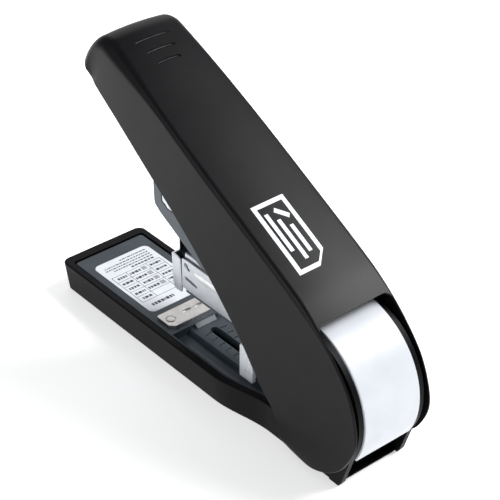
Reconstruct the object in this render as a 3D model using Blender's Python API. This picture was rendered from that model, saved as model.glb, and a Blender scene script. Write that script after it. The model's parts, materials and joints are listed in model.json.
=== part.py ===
"""Heavy duty office stapler with a raised handle, a pull-out staple drawer and an adjustable paper stop.

Lengths below are millimetres and are turned into metres where a mesh is made. Points of the base and of the
magazine are (across, from the base's front edge, up). Points of the handle are (across, behind the hinge,
above the hinge), in a frame whose parent empty stands on the hinge axis and carries the raised angle.
"""

import math

import bmesh
import bpy

MM = 0.001
FULL_TURN = 2.0 * math.pi

# Overall and axes.
HINGE_FROM_FRONT = 217.5
HINGE_HEIGHT = 45.5
AXLE_FROM_FRONT = 255.0
AXLE_HEIGHT = 44.5
RAISED_ANGLE = 35.3
FIT = 0.3

# Base tray, as half widths either side of the middle plane.
BASE_LENGTH = 250.0
BASE_HALF_WIDTH = 31.2
BASE_REAR_HALF_WIDTH = 24.0
BASE_TAPER_START = 150.0
BASE_TAPER_END = 192.0
BASE_HEIGHT = 20.0
BASE_DRAFT = 1.9
BASE_FRONT_CORNER = 5.0
BASE_REAR_CORNER = 5.0
FOOT_PROUD = 0.5
TRAY_WALL = 4.4
TRAY_FRONT_WALL = 7.0
TRAY_FLOOR = 3.5
TRAY_LEDGE_WIDTH = 1.6
REAR_WALL_BACK = 244.6
REAR_LIP_TOP = 1.8
FOOT_RADIUS = 5.0
FOOT_HEIGHT = 1.9
FOOT_FRONT = 16.0
FOOT_REAR = 236.0
FOOT_FRONT_OFFSET = 20.0
FOOT_REAR_OFFSET = 13.0

# Rear cheeks and cover, arcs about the hinge.
CHEEK_INNER = 20.5
CHEEK_OUTER = 23.8
CHEEK_RADIUS = 47.0
CHEEK_FRONT = 199.0
COVER_RADIUS = 48.0
COVER_WALL = 1.6
COVER_HALF_WIDTH = 20.1
COVER_RETURN_DEPTH = 4.1
COVER_RETURN_WALL = 1.5
COVER_START = -29.5
COVER_END = 117.0
HINGE_PIN_RADIUS = 4.0
HINGE_PIN_INNER = 15.0
HINGE_PIN_OUTER = 24.5
AXLE_RADIUS = 3.0
AXLE_HEAD_RADIUS = 4.4
AXLE_HEAD_GAP = 0.1
AXLE_HEAD_THICKNESS = 0.8
SPACER_RADIUS = 4.0

# Base panel with its dip, centre ledge and slot.
PANEL_TOP = 19.4
PANEL_THICKNESS = 2.7
PANEL_GAP = 0.8
PANEL_REAR = 196.5
DIP_FLOOR = 14.2
DIP_FRONT = 105.0
DIP_FLAT_HALF = 18.0
DIP_MARGIN = 1.4
LEDGE_HALF_WIDTH = 11.2
LEDGE_HEIGHT = 17.0
SLOT_HALF_WIDTH = 2.9
SLOT_FRONT = 112.0
SLOT_REAR = 176.0
LABEL_HALF_WIDTH = 20.6
LABEL_FRONT = 19.4
LABEL_REAR = 80.1
LABEL_CORNER = 4.0
LABEL_THICKNESS = 0.3
ANVIL_HALF_WIDTH = 22.0
ANVIL_FRONT = 86.2
ANVIL_REAR = 101.2
ANVIL_TOP = 21.1
ANVIL_CHAMFER = 3.0
RIVET_OFFSET = 17.1
RIVET_RADIUS = 2.9
RIVET_PROUD = 0.35
CLINCH_FROM_FRONT = 92.6

# Paper stop that slides along the slot.
STOP_FRONT = 154.0
STOP_REAR = 166.0
STOP_HALF_WIDTH = 14.2
STOP_TOP = 36.6
STOP_POST = 2.5

# Handle outline, in the handle's frame. Each station pairs a ridge point with a lower edge point:
# (ridge behind, ridge above, edge behind, edge above).
HANDLE_STATIONS = (
    (-227.0, -5.0, -216.5, -9.4),
    (-227.3, 4.0, -215.5, -9.7),
    (-225.6, 14.5, -214.5, -9.9),
    (-220.5, 21.4, -213.0, -9.9),
    (-210.2, 24.6, -208.0, -9.7),
    (-170.2, 31.8, -170.0, -7.8),
    (-110.1, 40.4, -110.0, -7.6),
    (-52.9, 48.4, -55.4, -14.8),
    (-25.8, 50.7, -29.0, -21.5),
    (-1.0, 48.6, -14.0, -25.6),
    (21.9, 41.5, -4.0, -26.8),
    (41.4, 25.2, 2.0, -28.6),
    (47.1, 5.1, 6.0, -30.0),
    (44.9, -9.5, 9.0, -31.1),
    (37.2, -21.8, 11.5, -31.9),
    (25.7, -28.7, 13.0, -32.5),
    (17.5, -32.4, 14.5, -32.9),
)
HANDLE_STEPS = 3
HANDLE_TIP_HALF_WIDTH = 23.8
HANDLE_MID_HALF_WIDTH = 27.0
HANDLE_REAR_HALF_WIDTH = 29.4
HANDLE_FLANK_DRAFT = 1.2
HANDLE_WALL = 2.0
HANDLE_CROWN = 1.0
HOLLOW_LAST_STATION = 10
HOLLOW_BELOW = 9.0
TIP_RADIUS = 8.0
RIDGE_RADIUS = 3.6
CHEEK_RIDGE_RADIUS = 1.2
RIDGE_SHARE = 0.33
HANDLE_REAR_REACH = 48.95
OPENING_HALF_WIDTH = 26.1
OPENING_SPREAD = 1.9
OPENING_FRONT = -19.3
OPENING_CORNER = 5.0
GROOVE_STATIONS = ((-212.1, 12.0), (-203.6, 10.0), (-195.3, 8.0))
GROOVE_WIDTH = 1.7
GROOVE_DEPTH = 0.8
GROOVE_BOW = 0.5

# Steel frame and press roller inside the handle.
FRAME_OUTER = 17.0
FRAME_WALL = 1.5
FRAME_FRONT = -165.0
ROLLER_BEHIND = -21.9
ROLLER_ABOVE = 1.9
ROLLER_RADIUS = 5.0
ROLLER_HALF_WIDTH = 8.5
ROLLER_PIN_RADIUS = 2.0

# Driver arm.
ARM_HALF_WIDTH = 10.9
ARM_WALL = 1.2
ARM_EYE_RADIUS = 6.3
SADDLE_FRONT = 192.0
SADDLE_REAR = 214.0
SADDLE_TOP = 54.2
SADDLE_THICKNESS = 1.2

# Magazine, staple drawer and driver blade.
MAG_HALF_WIDTH = 9.2
MAG_WALL = 1.0
MAG_FRONT = 95.5
MAG_BOTTOM = 42.2
MAG_TOP = 63.0
MAG_EYE_RADIUS = 5.6
STRIP_HALF_WIDTH = 8.6
GUIDE_HALF_WIDTH = 7.7
GUIDE_TOP = 66.6
FRONT_PLATE_FACE = 86.4
FRONT_PLATE_WALL = 1.2
RAIL_HALF_WIDTH = 7.8
RAIL_WALL = 0.8
RAIL_REAR = 184.0
RAIL_TOP = 57.0
CORE_HALF_WIDTH = 5.5
CORE_WALL = 0.9
CORE_TOP = 56.2
STAPLE_FRONT = 91.4
STAPLE_REAR = 130.4
STAPLE_WIRE = 0.7
BLADE_HALF_WIDTH = 6.3
BLADE_FRONT = 89.8
BLADE_THICKNESS = 0.8
BLADE_BOTTOM = 58.2
BLADE_TOP = 86.0
ROD_RADIUS = 1.1
ROD_HEIGHT = 50.0
PUSHER_FRONT = 130.8
PUSHER_REAR = 141.0

# Lift spring under the magazine.
SPRING_FROM_FRONT = 206.0
SPRING_RADIUS = 6.4
SPRING_WIRE = 0.65
SPRING_TURNS = 7.0

OVERALL_LENGTH = HINGE_FROM_FRONT + HANDLE_REAR_REACH
PANEL_LEDGE = PANEL_TOP - PANEL_THICKNESS

FINISHES = {
    "black_moulding": ((0.018, 0.018, 0.019), 0.42, 0.0),
    "slate_plastic": ((0.062, 0.078, 0.094), 0.48, 0.0),
    "slate_paint": ((0.075, 0.092, 0.108), 0.40, 0.0),
    "white_plastic": ((0.80, 0.81, 0.83), 0.35, 0.0),
    "label_stock": ((0.86, 0.86, 0.87), 0.55, 0.0),
    "zinc_steel": ((0.52, 0.53, 0.55), 0.32, 1.0),
    "dark_steel": ((0.10, 0.11, 0.12), 0.35, 1.0),
    "anvil_steel": ((0.50, 0.49, 0.48), 0.38, 1.0),
    "staple_wire": ((0.70, 0.71, 0.73), 0.25, 1.0),
    "rubber": ((0.02, 0.02, 0.02), 0.85, 0.0),
}


def clear_scene():
    for obj in list(bpy.data.objects):
        bpy.data.objects.remove(obj, do_unlink=True)


def finish(name):
    """The named Principled material, made once."""
    made = bpy.data.materials.get(name)
    if made is None:
        colour, roughness, metallic = FINISHES[name]
        made = bpy.data.materials.new(name)
        made.use_nodes = True
        shader = made.node_tree.nodes["Principled BSDF"]
        shader.inputs["Base Color"].default_value = (*colour, 1.0)
        shader.inputs["Roughness"].default_value = roughness
        shader.inputs["Metallic"].default_value = metallic
    return made


class Frame:
    """An empty on a joint axis, and the point of the drawing that it stands on."""

    def __init__(self, name, from_front, height, tilt=0.0, local=False):
        self.empty = bpy.data.objects.new(name, None)
        self.empty.empty_display_size = 10.0 * MM
        self.empty.location = (0.0, (from_front - OVERALL_LENGTH / 2) * MM, height * MM)
        self.empty.rotation_euler = (math.radians(tilt), 0.0, 0.0)
        bpy.context.scene.collection.objects.link(self.empty)
        self.zero = (0.0, 0.0) if local else (from_front, height)


def mesh_object(name, shape, frame):
    """A mesh object from (points, faces), with its normals facing out."""
    points, faces = shape
    back, up = frame.zero
    mesh = bpy.data.meshes.new(name)
    placed = [(x * MM, (y - back) * MM, (z - up) * MM) for x, y, z in points]
    mesh.from_pydata(placed, [], faces)
    work = bmesh.new()
    work.from_mesh(mesh)
    bmesh.ops.remove_doubles(work, verts=work.verts, dist=1e-7)
    bmesh.ops.recalc_face_normals(work, faces=work.faces)
    work.to_mesh(mesh)
    work.free()
    obj = bpy.data.objects.new(name, mesh)
    obj.parent = frame.empty
    bpy.context.scene.collection.objects.link(obj)
    return obj


def piece(name, shape, look, frame, smooth=None):
    """A visible sub-part with its own material."""
    obj = mesh_object(name, shape, frame)
    obj.data.materials.append(finish(look))
    if smooth:
        soften(obj, smooth)
    return obj


def soften(obj, angle):
    for face in obj.data.polygons:
        face.use_smooth = True
    obj.data.set_sharp_from_angle(angle=math.radians(angle))


def combine(obj, shape, frame, operation):
    """Cuts a shape out of an object, or joins it on."""
    number = len(obj.modifiers) + 1
    helper = mesh_object(f"{obj.name}_{operation.lower()}_{number}", shape, frame)
    helper.hide_render = True
    helper.display_type = "WIRE"
    helper.data.materials.append(obj.data.materials[0])
    if obj.data.polygons[0].use_smooth:
        soften(helper, 30.0)
    modifier = obj.modifiers.new(f"{operation.lower()}_{number}", "BOOLEAN")
    modifier.operation = operation
    modifier.solver = "EXACT"
    modifier.object = helper


def cut(obj, shape, frame):
    combine(obj, shape, frame, "DIFFERENCE")


def join(obj, shape, frame):
    combine(obj, shape, frame, "UNION")


def loft(rings):
    """(points, faces) of a closed body through rings of equal length, its ends capped."""
    count = len(rings[0])
    points = [point for ring in rings for point in ring]
    faces = [list(range(count)), [len(points) - 1 - k for k in range(count)]]
    for level in range(len(rings) - 1):
        low = level * count
        for k in range(count):
            after = (k + 1) % count
            faces.append([low + k, low + after, low + count + after, low + count + k])
    return points, faces


def prism_x(profile, left, right):
    """A side view (back, up) carried across from left to right."""
    return loft([[(x, y, z) for y, z in profile] for x in (left, right)])


def prism_y(section, front, rear):
    """A front view (across, up) carried from front to rear."""
    return loft([[(x, y, z) for x, z in section] for y in (front, rear)])


def prism_z(outline, low, high):
    """A plan (across, back) carried upwards."""
    return loft([[(x, y, z) for x, y in outline] for z in (low, high)])


def block(left, right, front, rear, low, high):
    return prism_x([(front, low), (rear, low), (rear, high), (front, high)], left, right)


def arc(centre, radius, start, end, steps):
    """Points of an arc, with its angles in degrees."""
    turn = [math.radians(start + (end - start) * k / steps) for k in range(steps + 1)]
    return [(centre[0] + radius * math.cos(a), centre[1] + radius * math.sin(a)) for a in turn]


def circle(centre, radius, steps=28):
    return arc(centre, radius, 0.0, 360.0, steps)[:-1]


def disc_x(centre, radius, left, right, steps=28):
    return prism_x(circle(centre, radius, steps), left, right)


def disc_z(centre, radius, low, high, steps=28):
    return prism_z(circle(centre, radius, steps), low, high)


def rounded_box(half_width, front, rear, radius, steps=5):
    """A plan rectangle about the middle plane with rounded corners."""
    inner = half_width - radius
    return (
        arc((inner, rear - radius), radius, 0.0, 90.0, steps)
        + arc((-inner, rear - radius), radius, 90.0, 180.0, steps)
        + arc((-inner, front + radius), radius, 180.0, 270.0, steps)
        + arc((inner, front + radius), radius, 270.0, 360.0, steps)
    )


def capsule(start, end, radius, steps=8):
    """A slot outline between two centres."""
    along = math.degrees(math.atan2(end[1] - start[1], end[0] - start[0]))
    far = arc(end, radius, along - 90.0, along + 90.0, steps)
    near = arc(start, radius, along + 90.0, along + 270.0, steps)
    return far + near


def coil(centre, radius, wire, start, end, turns, along_y=False, sides=6, per_turn=14):
    """A helical spring with flat capped ends, standing along Z or lying along Y."""
    rings = []
    steps = int(turns * per_turn)
    pitch = (end - start - 2 * wire) / steps
    for k in range(steps + 1):
        angle = FULL_TURN * k / per_turn
        level = start + wire + pitch * k
        ring = []
        for side in range(sides):
            turn = FULL_TURN * side / sides
            out = radius + wire * math.cos(turn)
            across = out * math.cos(angle)
            other = out * math.sin(angle)
            height = level + wire * math.sin(turn)
            if along_y:
                ring.append((centre[0] + across, height, centre[1] + other))
            else:
                ring.append((centre[0] + across, centre[1] + other, height))
        rings.append(ring)
    return loft(rings)


def smooth_step(value):
    held = min(max(value, 0.0), 1.0)
    return held * held * (3.0 - 2.0 * held)


def base_half_width(back):
    """Half width of the base's rim, narrowing in an S towards the rear."""
    share = smooth_step((back - BASE_TAPER_START) / (BASE_TAPER_END - BASE_TAPER_START))
    return BASE_HALF_WIDTH + (BASE_REAR_HALF_WIDTH - BASE_HALF_WIDTH) * share


def base_outline(side, front, rear, corner, rear_corner, rear_side=None):
    """The base's plan, moved in by side, starting at front and ending at rear."""
    taper = range(1, 12)
    span = BASE_TAPER_END - BASE_TAPER_START
    last = side if rear_side is None else rear_side
    stations = [BASE_TAPER_START + span * k / 12.0 for k in (0, *taper, 12)]
    right = arc((BASE_HALF_WIDTH - side - corner, front + corner), corner, -90.0, 0.0, 6)
    for back in stations:
        if back < rear - 2.0:
            share = smooth_step((back - BASE_TAPER_START) / span)
            right.append((base_half_width(back) - side - (last - side) * share, back))
    end = base_half_width(rear) - last
    right += arc((end - rear_corner, rear - rear_corner), rear_corner, 0.0, 90.0, 5)
    return right + [(-x, back) for x, back in reversed(right)]


def base_tray(base):
    """The black moulded tray with its rear cheeks and the recess between them."""
    levels = (
        (FOOT_PROUD, BASE_DRAFT + 0.3, 1.0),
        (FOOT_PROUD + 0.4, BASE_DRAFT, 0.7),
        (BASE_HEIGHT - 1.0, 0.1, 0.1),
        (BASE_HEIGHT - 0.3, 0.3, 0.3),
        (BASE_HEIGHT, 0.9, 0.9),
    )
    rings = []
    for height, side, rear_side in levels:
        end = BASE_LENGTH - rear_side
        plan = base_outline(side, side, end, BASE_FRONT_CORNER, BASE_REAR_CORNER, rear_side)
        rings.append([(x, y, height) for x, y in plan])
    tray = piece("base_tray", loft(rings), "black_moulding", base, 30.0)
    cavity = TRAY_WALL + TRAY_LEDGE_WIDTH
    ledge = base_outline(TRAY_WALL, TRAY_FRONT_WALL, BASE_LENGTH - 9.0, 2.0, 2.0)
    well = base_outline(cavity, TRAY_FRONT_WALL + TRAY_LEDGE_WIDTH, BASE_LENGTH - 8.0, 2.0, 2.0)
    cut(tray, prism_z(ledge, PANEL_LEDGE - FIT, BASE_HEIGHT + 5.0), base)
    cut(tray, prism_z(well, TRAY_FLOOR, BASE_HEIGHT + 6.0), base)
    rear_cut = block(-CHEEK_INNER, CHEEK_INNER, REAR_WALL_BACK, 270.0, REAR_LIP_TOP, BASE_HEIGHT + 9.0)
    cut(tray, rear_cut, base)
    for side in (-1.0, 1.0):
        join(tray, prism_x(cheek_profile(), side * CHEEK_INNER, side * CHEEK_OUTER), base)
    hinge = (HINGE_FROM_FRONT, HINGE_HEIGHT)
    axle = (AXLE_FROM_FRONT, AXLE_HEIGHT)
    cut(tray, disc_x(hinge, HINGE_PIN_RADIUS + FIT / 2, -30.0, 30.0), base)
    cut(tray, disc_x(axle, AXLE_RADIUS + FIT / 2, -31.0, 31.0), base)
    for across, back in foot_places():
        cut(tray, disc_z((across, back), FOOT_RADIUS + 0.5, -1.0, FOOT_HEIGHT + FIT, 24), base)
    return tray


def cheek_profile():
    """Side view of a rear cheek: an arc about the hinge, running down to the rear foot."""
    hinge = (HINGE_FROM_FRONT, HINGE_HEIGHT)
    start = math.degrees(math.acos((CHEEK_FRONT - HINGE_FROM_FRONT) / CHEEK_RADIUS))
    rim = arc(hinge, CHEEK_RADIUS, start, COVER_START, 22)
    foot = [(255.4, 13.0), (252.6, 4.0), (250.4, FOOT_PROUD), (243.0, FOOT_PROUD), (240.0, 12.0)]
    return rim + foot + [(CHEEK_FRONT, 12.0)]


def foot_places():
    return [
        (side * offset, back)
        for offset, back in ((FOOT_FRONT_OFFSET, FOOT_FRONT), (FOOT_REAR_OFFSET, FOOT_REAR))
        for side in (-1.0, 1.0)
    ]


def base_panel(base):
    """The slate panel with its dip, its centre ledge, the stop's slot and the label's recess."""
    side = TRAY_WALL + PANEL_GAP
    plan = base_outline(side, TRAY_FRONT_WALL + PANEL_GAP, PANEL_REAR, 1.6, 1.0)
    inner = base_outline(side + 0.5, TRAY_FRONT_WALL + PANEL_GAP + 0.5, PANEL_REAR - 0.5, 1.3, 0.7)
    rings = [
        [(x, y, PANEL_LEDGE) for x, y in plan],
        [(x, y, PANEL_TOP - 0.5) for x, y in plan],
        [(x, y, PANEL_TOP) for x, y in inner],
    ]
    panel = piece("base_panel", loft(rings), "slate_plastic", base, 30.0)
    deep = base_outline(side + 2.0, DIP_FRONT - 3.0, PANEL_REAR - 0.6, 1.0, 1.0)
    join(panel, prism_z(deep, DIP_FLOOR - 2.2, PANEL_LEDGE + 1.0), base)
    cut(panel, dip_shape(side), base)
    slot = capsule((0.0, SLOT_FRONT + SLOT_HALF_WIDTH), (0.0, SLOT_REAR - SLOT_HALF_WIDTH), SLOT_HALF_WIDTH)
    cut(panel, prism_z(slot, 5.0, 25.0), base)
    recess = rounded_box(LABEL_HALF_WIDTH + FIT, LABEL_FRONT - FIT, LABEL_REAR + FIT, LABEL_CORNER + FIT)
    cut(panel, prism_z(recess, PANEL_TOP - 0.4, PANEL_TOP + 2.0), base)
    for side in (-1.0, 1.0):
        bore = disc_z((side * RIVET_OFFSET, rivet_back()), 1.9, 10.0, 25.0, 20)
        cut(panel, bore, base)
    return panel


def rivet_back():
    return (ANVIL_FRONT + ANVIL_REAR) / 2 + 0.2


def dip_shape(side):
    """The dip's cutter: floor, concave outer slope and raised centre ledge, lofted towards the rear."""
    rings = []
    for back in (DIP_FRONT, 130.0, 150.0, 160.0, 168.0, 176.0, 184.0, 192.0, PANEL_REAR + 2.0):
        outer = base_half_width(back) - side - DIP_MARGIN
        flat = min(DIP_FLAT_HALF, LEDGE_HALF_WIDTH + 0.45 * (outer - LEDGE_HALF_WIDTH))
        slope = []
        for k in range(7):
            turn = math.radians(15.0 * k)
            x = flat + (outer - flat) * math.sin(turn)
            slope.append((x, PANEL_TOP - (PANEL_TOP - DIP_FLOOR) * math.cos(turn)))
        right = [(LEDGE_HALF_WIDTH, LEDGE_HEIGHT), (LEDGE_HALF_WIDTH + 0.3, DIP_FLOOR)]
        right += slope + [(outer, PANEL_TOP + 4.0)]
        section = right + [(-x, z) for x, z in reversed(right)]
        rings.append([(x, back, z) for x, z in section])
    return loft(rings)


def anvil(base):
    """The anvil plate with two clinching grooves, and the two rivets that hold it."""
    half = ANVIL_HALF_WIDTH
    plan = arc((half - 1.5, ANVIL_FRONT + 1.5), 1.5, -90.0, 0.0, 4)
    plan += [(half, ANVIL_REAR - ANVIL_CHAMFER), (half - ANVIL_CHAMFER, ANVIL_REAR)]
    plan += [(-x, y) for x, y in reversed(plan)]
    low = PANEL_TOP + 0.2
    plate = piece("anvil_plate", prism_z(plan, low, ANVIL_TOP), "anvil_steel", base, 30.0)
    for side in (-1.0, 1.0):
        cut(plate, clinch_groove(side), base)
        centre = (side * RIVET_OFFSET, rivet_back())
        cut(plate, disc_z(centre, 2.0, low - 1.0, ANVIL_TOP + 1.0, 20), base)
        rivet = loft(rivet_rings(centre))
        name = "anvil_rivet_left" if side < 0 else "anvil_rivet_right"
        piece(name, rivet, "anvil_steel", base, 30.0)
    return plate


def clinch_groove(side):
    """A shallow groove that turns one staple leg inwards."""
    rings = []
    for k in range(9):
        share = k / 8.0
        x = side * (0.6 + 7.8 * share)
        depth = 0.15 + 0.75 * math.sin(math.pi * share)
        half = 0.75 + 0.35 * math.sin(math.pi * share)
        middle = CLINCH_FROM_FRONT
        ring = [(middle - half, ANVIL_TOP + 1.0), (middle - half * 0.5, ANVIL_TOP - depth)]
        ring += [(middle + half * 0.5, ANVIL_TOP - depth), (middle + half, ANVIL_TOP + 1.0)]
        rings.append([(x, y, z) for y, z in ring])
    return loft(rings)


def rivet_rings(centre):
    """Rings of a rivet with a low domed head above the anvil and its shank below."""
    top = ANVIL_TOP + RIVET_PROUD
    sizes = ((1.6, 12.5), (1.6, ANVIL_TOP + 0.08), (RIVET_RADIUS, ANVIL_TOP + 0.08))
    sizes += ((RIVET_RADIUS, top - 0.12), (RIVET_RADIUS - 0.5, top), (0.8, top + 0.05))
    return [[(x, y, z) for x, y in circle(centre, r, 24)] for r, z in sizes]


def label(base):
    plan = rounded_box(LABEL_HALF_WIDTH, LABEL_FRONT, LABEL_REAR, LABEL_CORNER)
    low = PANEL_TOP - 0.2
    return piece("label_plate", prism_z(plan, low, low + LABEL_THICKNESS), "label_stock", base)


def feet(base):
    names = ("foot_front_left", "foot_front_right", "foot_rear_left", "foot_rear_right")
    for name, (across, back) in zip(names, foot_places(), strict=True):
        sizes = ((FOOT_RADIUS - 0.4, 0.0), (FOOT_RADIUS, 0.4), (FOOT_RADIUS, FOOT_HEIGHT))
        rings = [[(x, y, z) for x, y in circle((across, back), r, 24)] for r, z in sizes]
        piece(name, loft(rings), "rubber", base, 30.0)


def rear_cover(base):
    """The white shell over the hinge: a band about the hinge axis with two side returns."""
    hinge = (HINGE_FROM_FRONT, HINGE_HEIGHT)
    outer = COVER_HALF_WIDTH
    inner = outer - COVER_RETURN_WALL
    lip = 0.5
    low = COVER_RADIUS - COVER_RETURN_DEPTH
    roof = COVER_RADIUS - COVER_WALL
    right = [(inner, roof), (inner, low), (outer, low)]
    right += [(outer, COVER_RADIUS - lip), (outer - lip, COVER_RADIUS)]
    section = right + [(-x, r) for x, r in reversed(right)]
    rings = []
    steps = 40
    for k in range(steps + 1):
        angle = math.radians(COVER_START + (COVER_END - COVER_START) * k / steps)
        ring = []
        for x, radius in section:
            ring.append((x, hinge[0] + radius * math.cos(angle), hinge[1] + radius * math.sin(angle)))
        rings.append(ring)
    return piece("rear_cover", loft(rings), "white_plastic", base, 30.0)


def pins(base):
    """Two stub pins for the handle, and the long axle of the arm and the magazine with its spacers."""
    hinge = (HINGE_FROM_FRONT, HINGE_HEIGHT)
    axle = (AXLE_FROM_FRONT, AXLE_HEIGHT)
    for side, word in ((-1.0, "left"), (1.0, "right")):
        pin = disc_x(hinge, HINGE_PIN_RADIUS, side * HINGE_PIN_INNER, side * HINGE_PIN_OUTER, 32)
        piece(f"hinge_pin_{word}", pin, "zinc_steel", base, 30.0)
        inner = ARM_HALF_WIDTH + FIT
        tube = disc_x(axle, SPACER_RADIUS, side * inner, side * (CHEEK_INNER - FIT), 28)
        spacer = piece(f"axle_spacer_{word}", tube, "white_plastic", base, 30.0)
        cut(spacer, disc_x(axle, AXLE_RADIUS + FIT / 2, side * 5.0, side * 25.0), base)
    reach = CHEEK_OUTER + AXLE_HEAD_GAP
    end = reach + AXLE_HEAD_THICKNESS / 2
    shaft = piece("arm_axle", disc_x(axle, AXLE_RADIUS, -end, end), "zinc_steel", base, 30.0)
    for side in (-1.0, 1.0):
        head = disc_x(axle, AXLE_HEAD_RADIUS, side * reach, side * (reach + AXLE_HEAD_THICKNESS))
        join(shaft, head, base)


def lift_spring(base):
    low = TRAY_FLOOR + FIT
    high = MAG_BOTTOM - 2.6 - FIT
    turn = coil((0.0, SPRING_FROM_FRONT), SPRING_RADIUS, SPRING_WIRE, low, high, SPRING_TURNS)
    return piece("lift_spring", turn, "zinc_steel", base, 60.0)


def paper_stop(stop):
    """The ribbed white stop that straddles the centre ledge, and its shoe under the panel."""
    outer = STOP_HALF_WIDTH
    inner = outer - STOP_POST
    rib = 0.35
    count = 6
    span = STOP_REAR - STOP_FRONT
    edge = []
    for k in range(count):
        start = STOP_FRONT + span * k / count
        pitch = span / count
        edge += [(outer - rib, start), (outer, start + pitch * 0.2), (outer, start + pitch * 0.8)]
    edge.append((outer - rib, STOP_REAR))
    plan = [(inner, STOP_FRONT)] + edge + [(inner, STOP_REAR)]
    low = DIP_FLOOR + FIT
    post = prism_z(plan, low, STOP_TOP)
    body = piece("paper_stop", post, "white_plastic", stop, 30.0)
    other = prism_z([(-x, y) for x, y in plan], low, STOP_TOP)
    bridge = LEDGE_HEIGHT + FIT
    reach = inner + 0.6
    join(body, block(-reach, reach, STOP_FRONT + 0.4, STOP_REAR - 0.4, bridge, bridge + 3.0), stop)
    join(body, other, stop)
    middle = (STOP_FRONT + STOP_REAR) / 2
    shank = capsule((0.0, middle - 2.0), (0.0, middle + 2.0), SLOT_HALF_WIDTH - FIT)
    join(body, prism_z(shank, 9.9, bridge + 1.0), stop)
    shoe = rounded_box(6.5, STOP_FRONT + 0.5, STOP_REAR - 0.5, 1.5)
    plate = piece("stop_shoe", prism_z(shoe, 9.6, DIP_FLOOR - 2.2 - FIT), "slate_plastic", stop, 30.0)
    hole = capsule((0.0, middle - 2.0), (0.0, middle + 2.0), SLOT_HALF_WIDTH)
    cut(plate, prism_z(hole, 5.0, 15.0), stop)


def spline(points, steps):
    """A smooth curve through the points, with steps pieces between each two."""
    path = []
    last = len(points) - 1
    for k in range(last):
        p0 = points[max(k - 1, 0)]
        p1 = points[k]
        p2 = points[k + 1]
        p3 = points[min(k + 2, last)]
        for j in range(steps):
            t = j / steps
            path.append(tuple(blend(a, b, c, d, t) for a, b, c, d in zip(p0, p1, p2, p3, strict=True)))
    path.append(tuple(points[last]))
    return path


def blend(a, b, c, d, t):
    """The Catmull-Rom curve from b to c."""
    square = t * t
    cube = square * t
    near = 2.0 * b + (c - a) * t
    return 0.5 * (near + (2.0 * a - 5.0 * b + 4.0 * c - d) * square + (3.0 * b - a - 3.0 * c + d) * cube)


def handle_half_width(back, up):
    """Half width along the ridge: narrow at the tip, full from the middle, wider low on the cheeks."""
    if back < -107.0:
        share = max(back + 227.0, 0.0) / 120.0
        grown = math.sin(share * math.pi / 2)
        return HANDLE_TIP_HALF_WIDTH + (HANDLE_MID_HALF_WIDTH - HANDLE_TIP_HALF_WIDTH) * grown
    share = smooth_step((50.0 - up) / 75.0) if back > 0.0 else 0.0
    return HANDLE_MID_HALF_WIDTH + (HANDLE_REAR_HALF_WIDTH - HANDLE_MID_HALF_WIDTH) * share


def ridge_radius(back):
    """Radius of the ridge: large at the tip, small on the cheeks."""
    if back < -100.0:
        share = smooth_step((back + 222.0) / 60.0)
        return TIP_RADIUS + (RIDGE_RADIUS - TIP_RADIUS) * share
    share = smooth_step((back + 40.0) / 40.0)
    return RIDGE_RADIUS + (CHEEK_RIDGE_RADIUS - RIDGE_RADIUS) * share


def handle_ring(ridge, edge, half, radius, crown, low_half):
    """One closed ring: up one flank, over its rounded ridge, across the top and down the other flank."""
    along = math.dist(ridge, edge)
    up = ((ridge[0] - edge[0]) / along, (ridge[1] - edge[1]) / along)
    radius = min(radius, 0.8 * along)
    half_section = [(low_half, 0.0), (half, along - radius)]
    for k in range(1, 6):
        turn = math.radians(18.0 * k)
        out = half - radius + radius * math.cos(turn)
        half_section.append((out, along - radius + radius * math.sin(turn)))
    flat = half - radius
    for share in (0.66, 0.33):
        half_section.append((flat * share, along + crown * (1.0 - share * share)))
    section = half_section + [(0.0, along + crown)] + [(-x, s) for x, s in reversed(half_section)]
    return [(x, edge[0] + up[0] * s, edge[1] + up[1] * s) for x, s in section]


def handle_solid(wall, below, first, last):
    """The handle's outer body with wall 0, or the body of its hollow, reaching below the lower edge."""
    path = spline(HANDLE_STATIONS, HANDLE_STEPS)
    rings = []
    for k in range(first, min(last, len(path) - 1) + 1):
        y, z, edge_y, edge_z = path[k]
        before = path[max(k - 1, 0)]
        after = path[min(k + 1, len(path) - 1)]
        run = math.hypot(after[0] - before[0], after[1] - before[1])
        normal = (-(after[1] - before[1]) / run, (after[0] - before[0]) / run)
        grown = RIDGE_SHARE * ridge_radius(y)
        out = grown - wall
        ridge = (y + out * normal[0], z + out * normal[1])
        half = handle_half_width(y, z) + grown - wall
        low_half = half - grown + HANDLE_FLANK_DRAFT
        if wall:
            half = min(half, OPENING_HALF_WIDTH - 0.3)
            low_half = min(low_half, OPENING_HALF_WIDTH - 0.2)
        radius = max(ridge_radius(y) - wall, 0.6)
        rings.append(handle_ring(ridge, (edge_y, edge_z - below), half, radius, HANDLE_CROWN, low_half))
    return loft(rings)


def handle_shell(handle):
    """The black cover: hollow below, open over the hinge, with three grip grooves at its tip."""
    body = handle_solid(0.0, 0.0, 0, len(HANDLE_STATIONS) * HANDLE_STEPS)
    shell = piece("handle_shell", body, "black_moulding", handle, 32.0)
    hollow_end = HOLLOW_LAST_STATION * HANDLE_STEPS
    cut(shell, handle_solid(HANDLE_WALL, HOLLOW_BELOW, HANDLE_STEPS, hollow_end), handle)
    cut(shell, opening_solid(), handle)
    for back, reach in GROOVE_STATIONS:
        cut(shell, grip_groove(back, reach), handle)
    return shell


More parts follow.
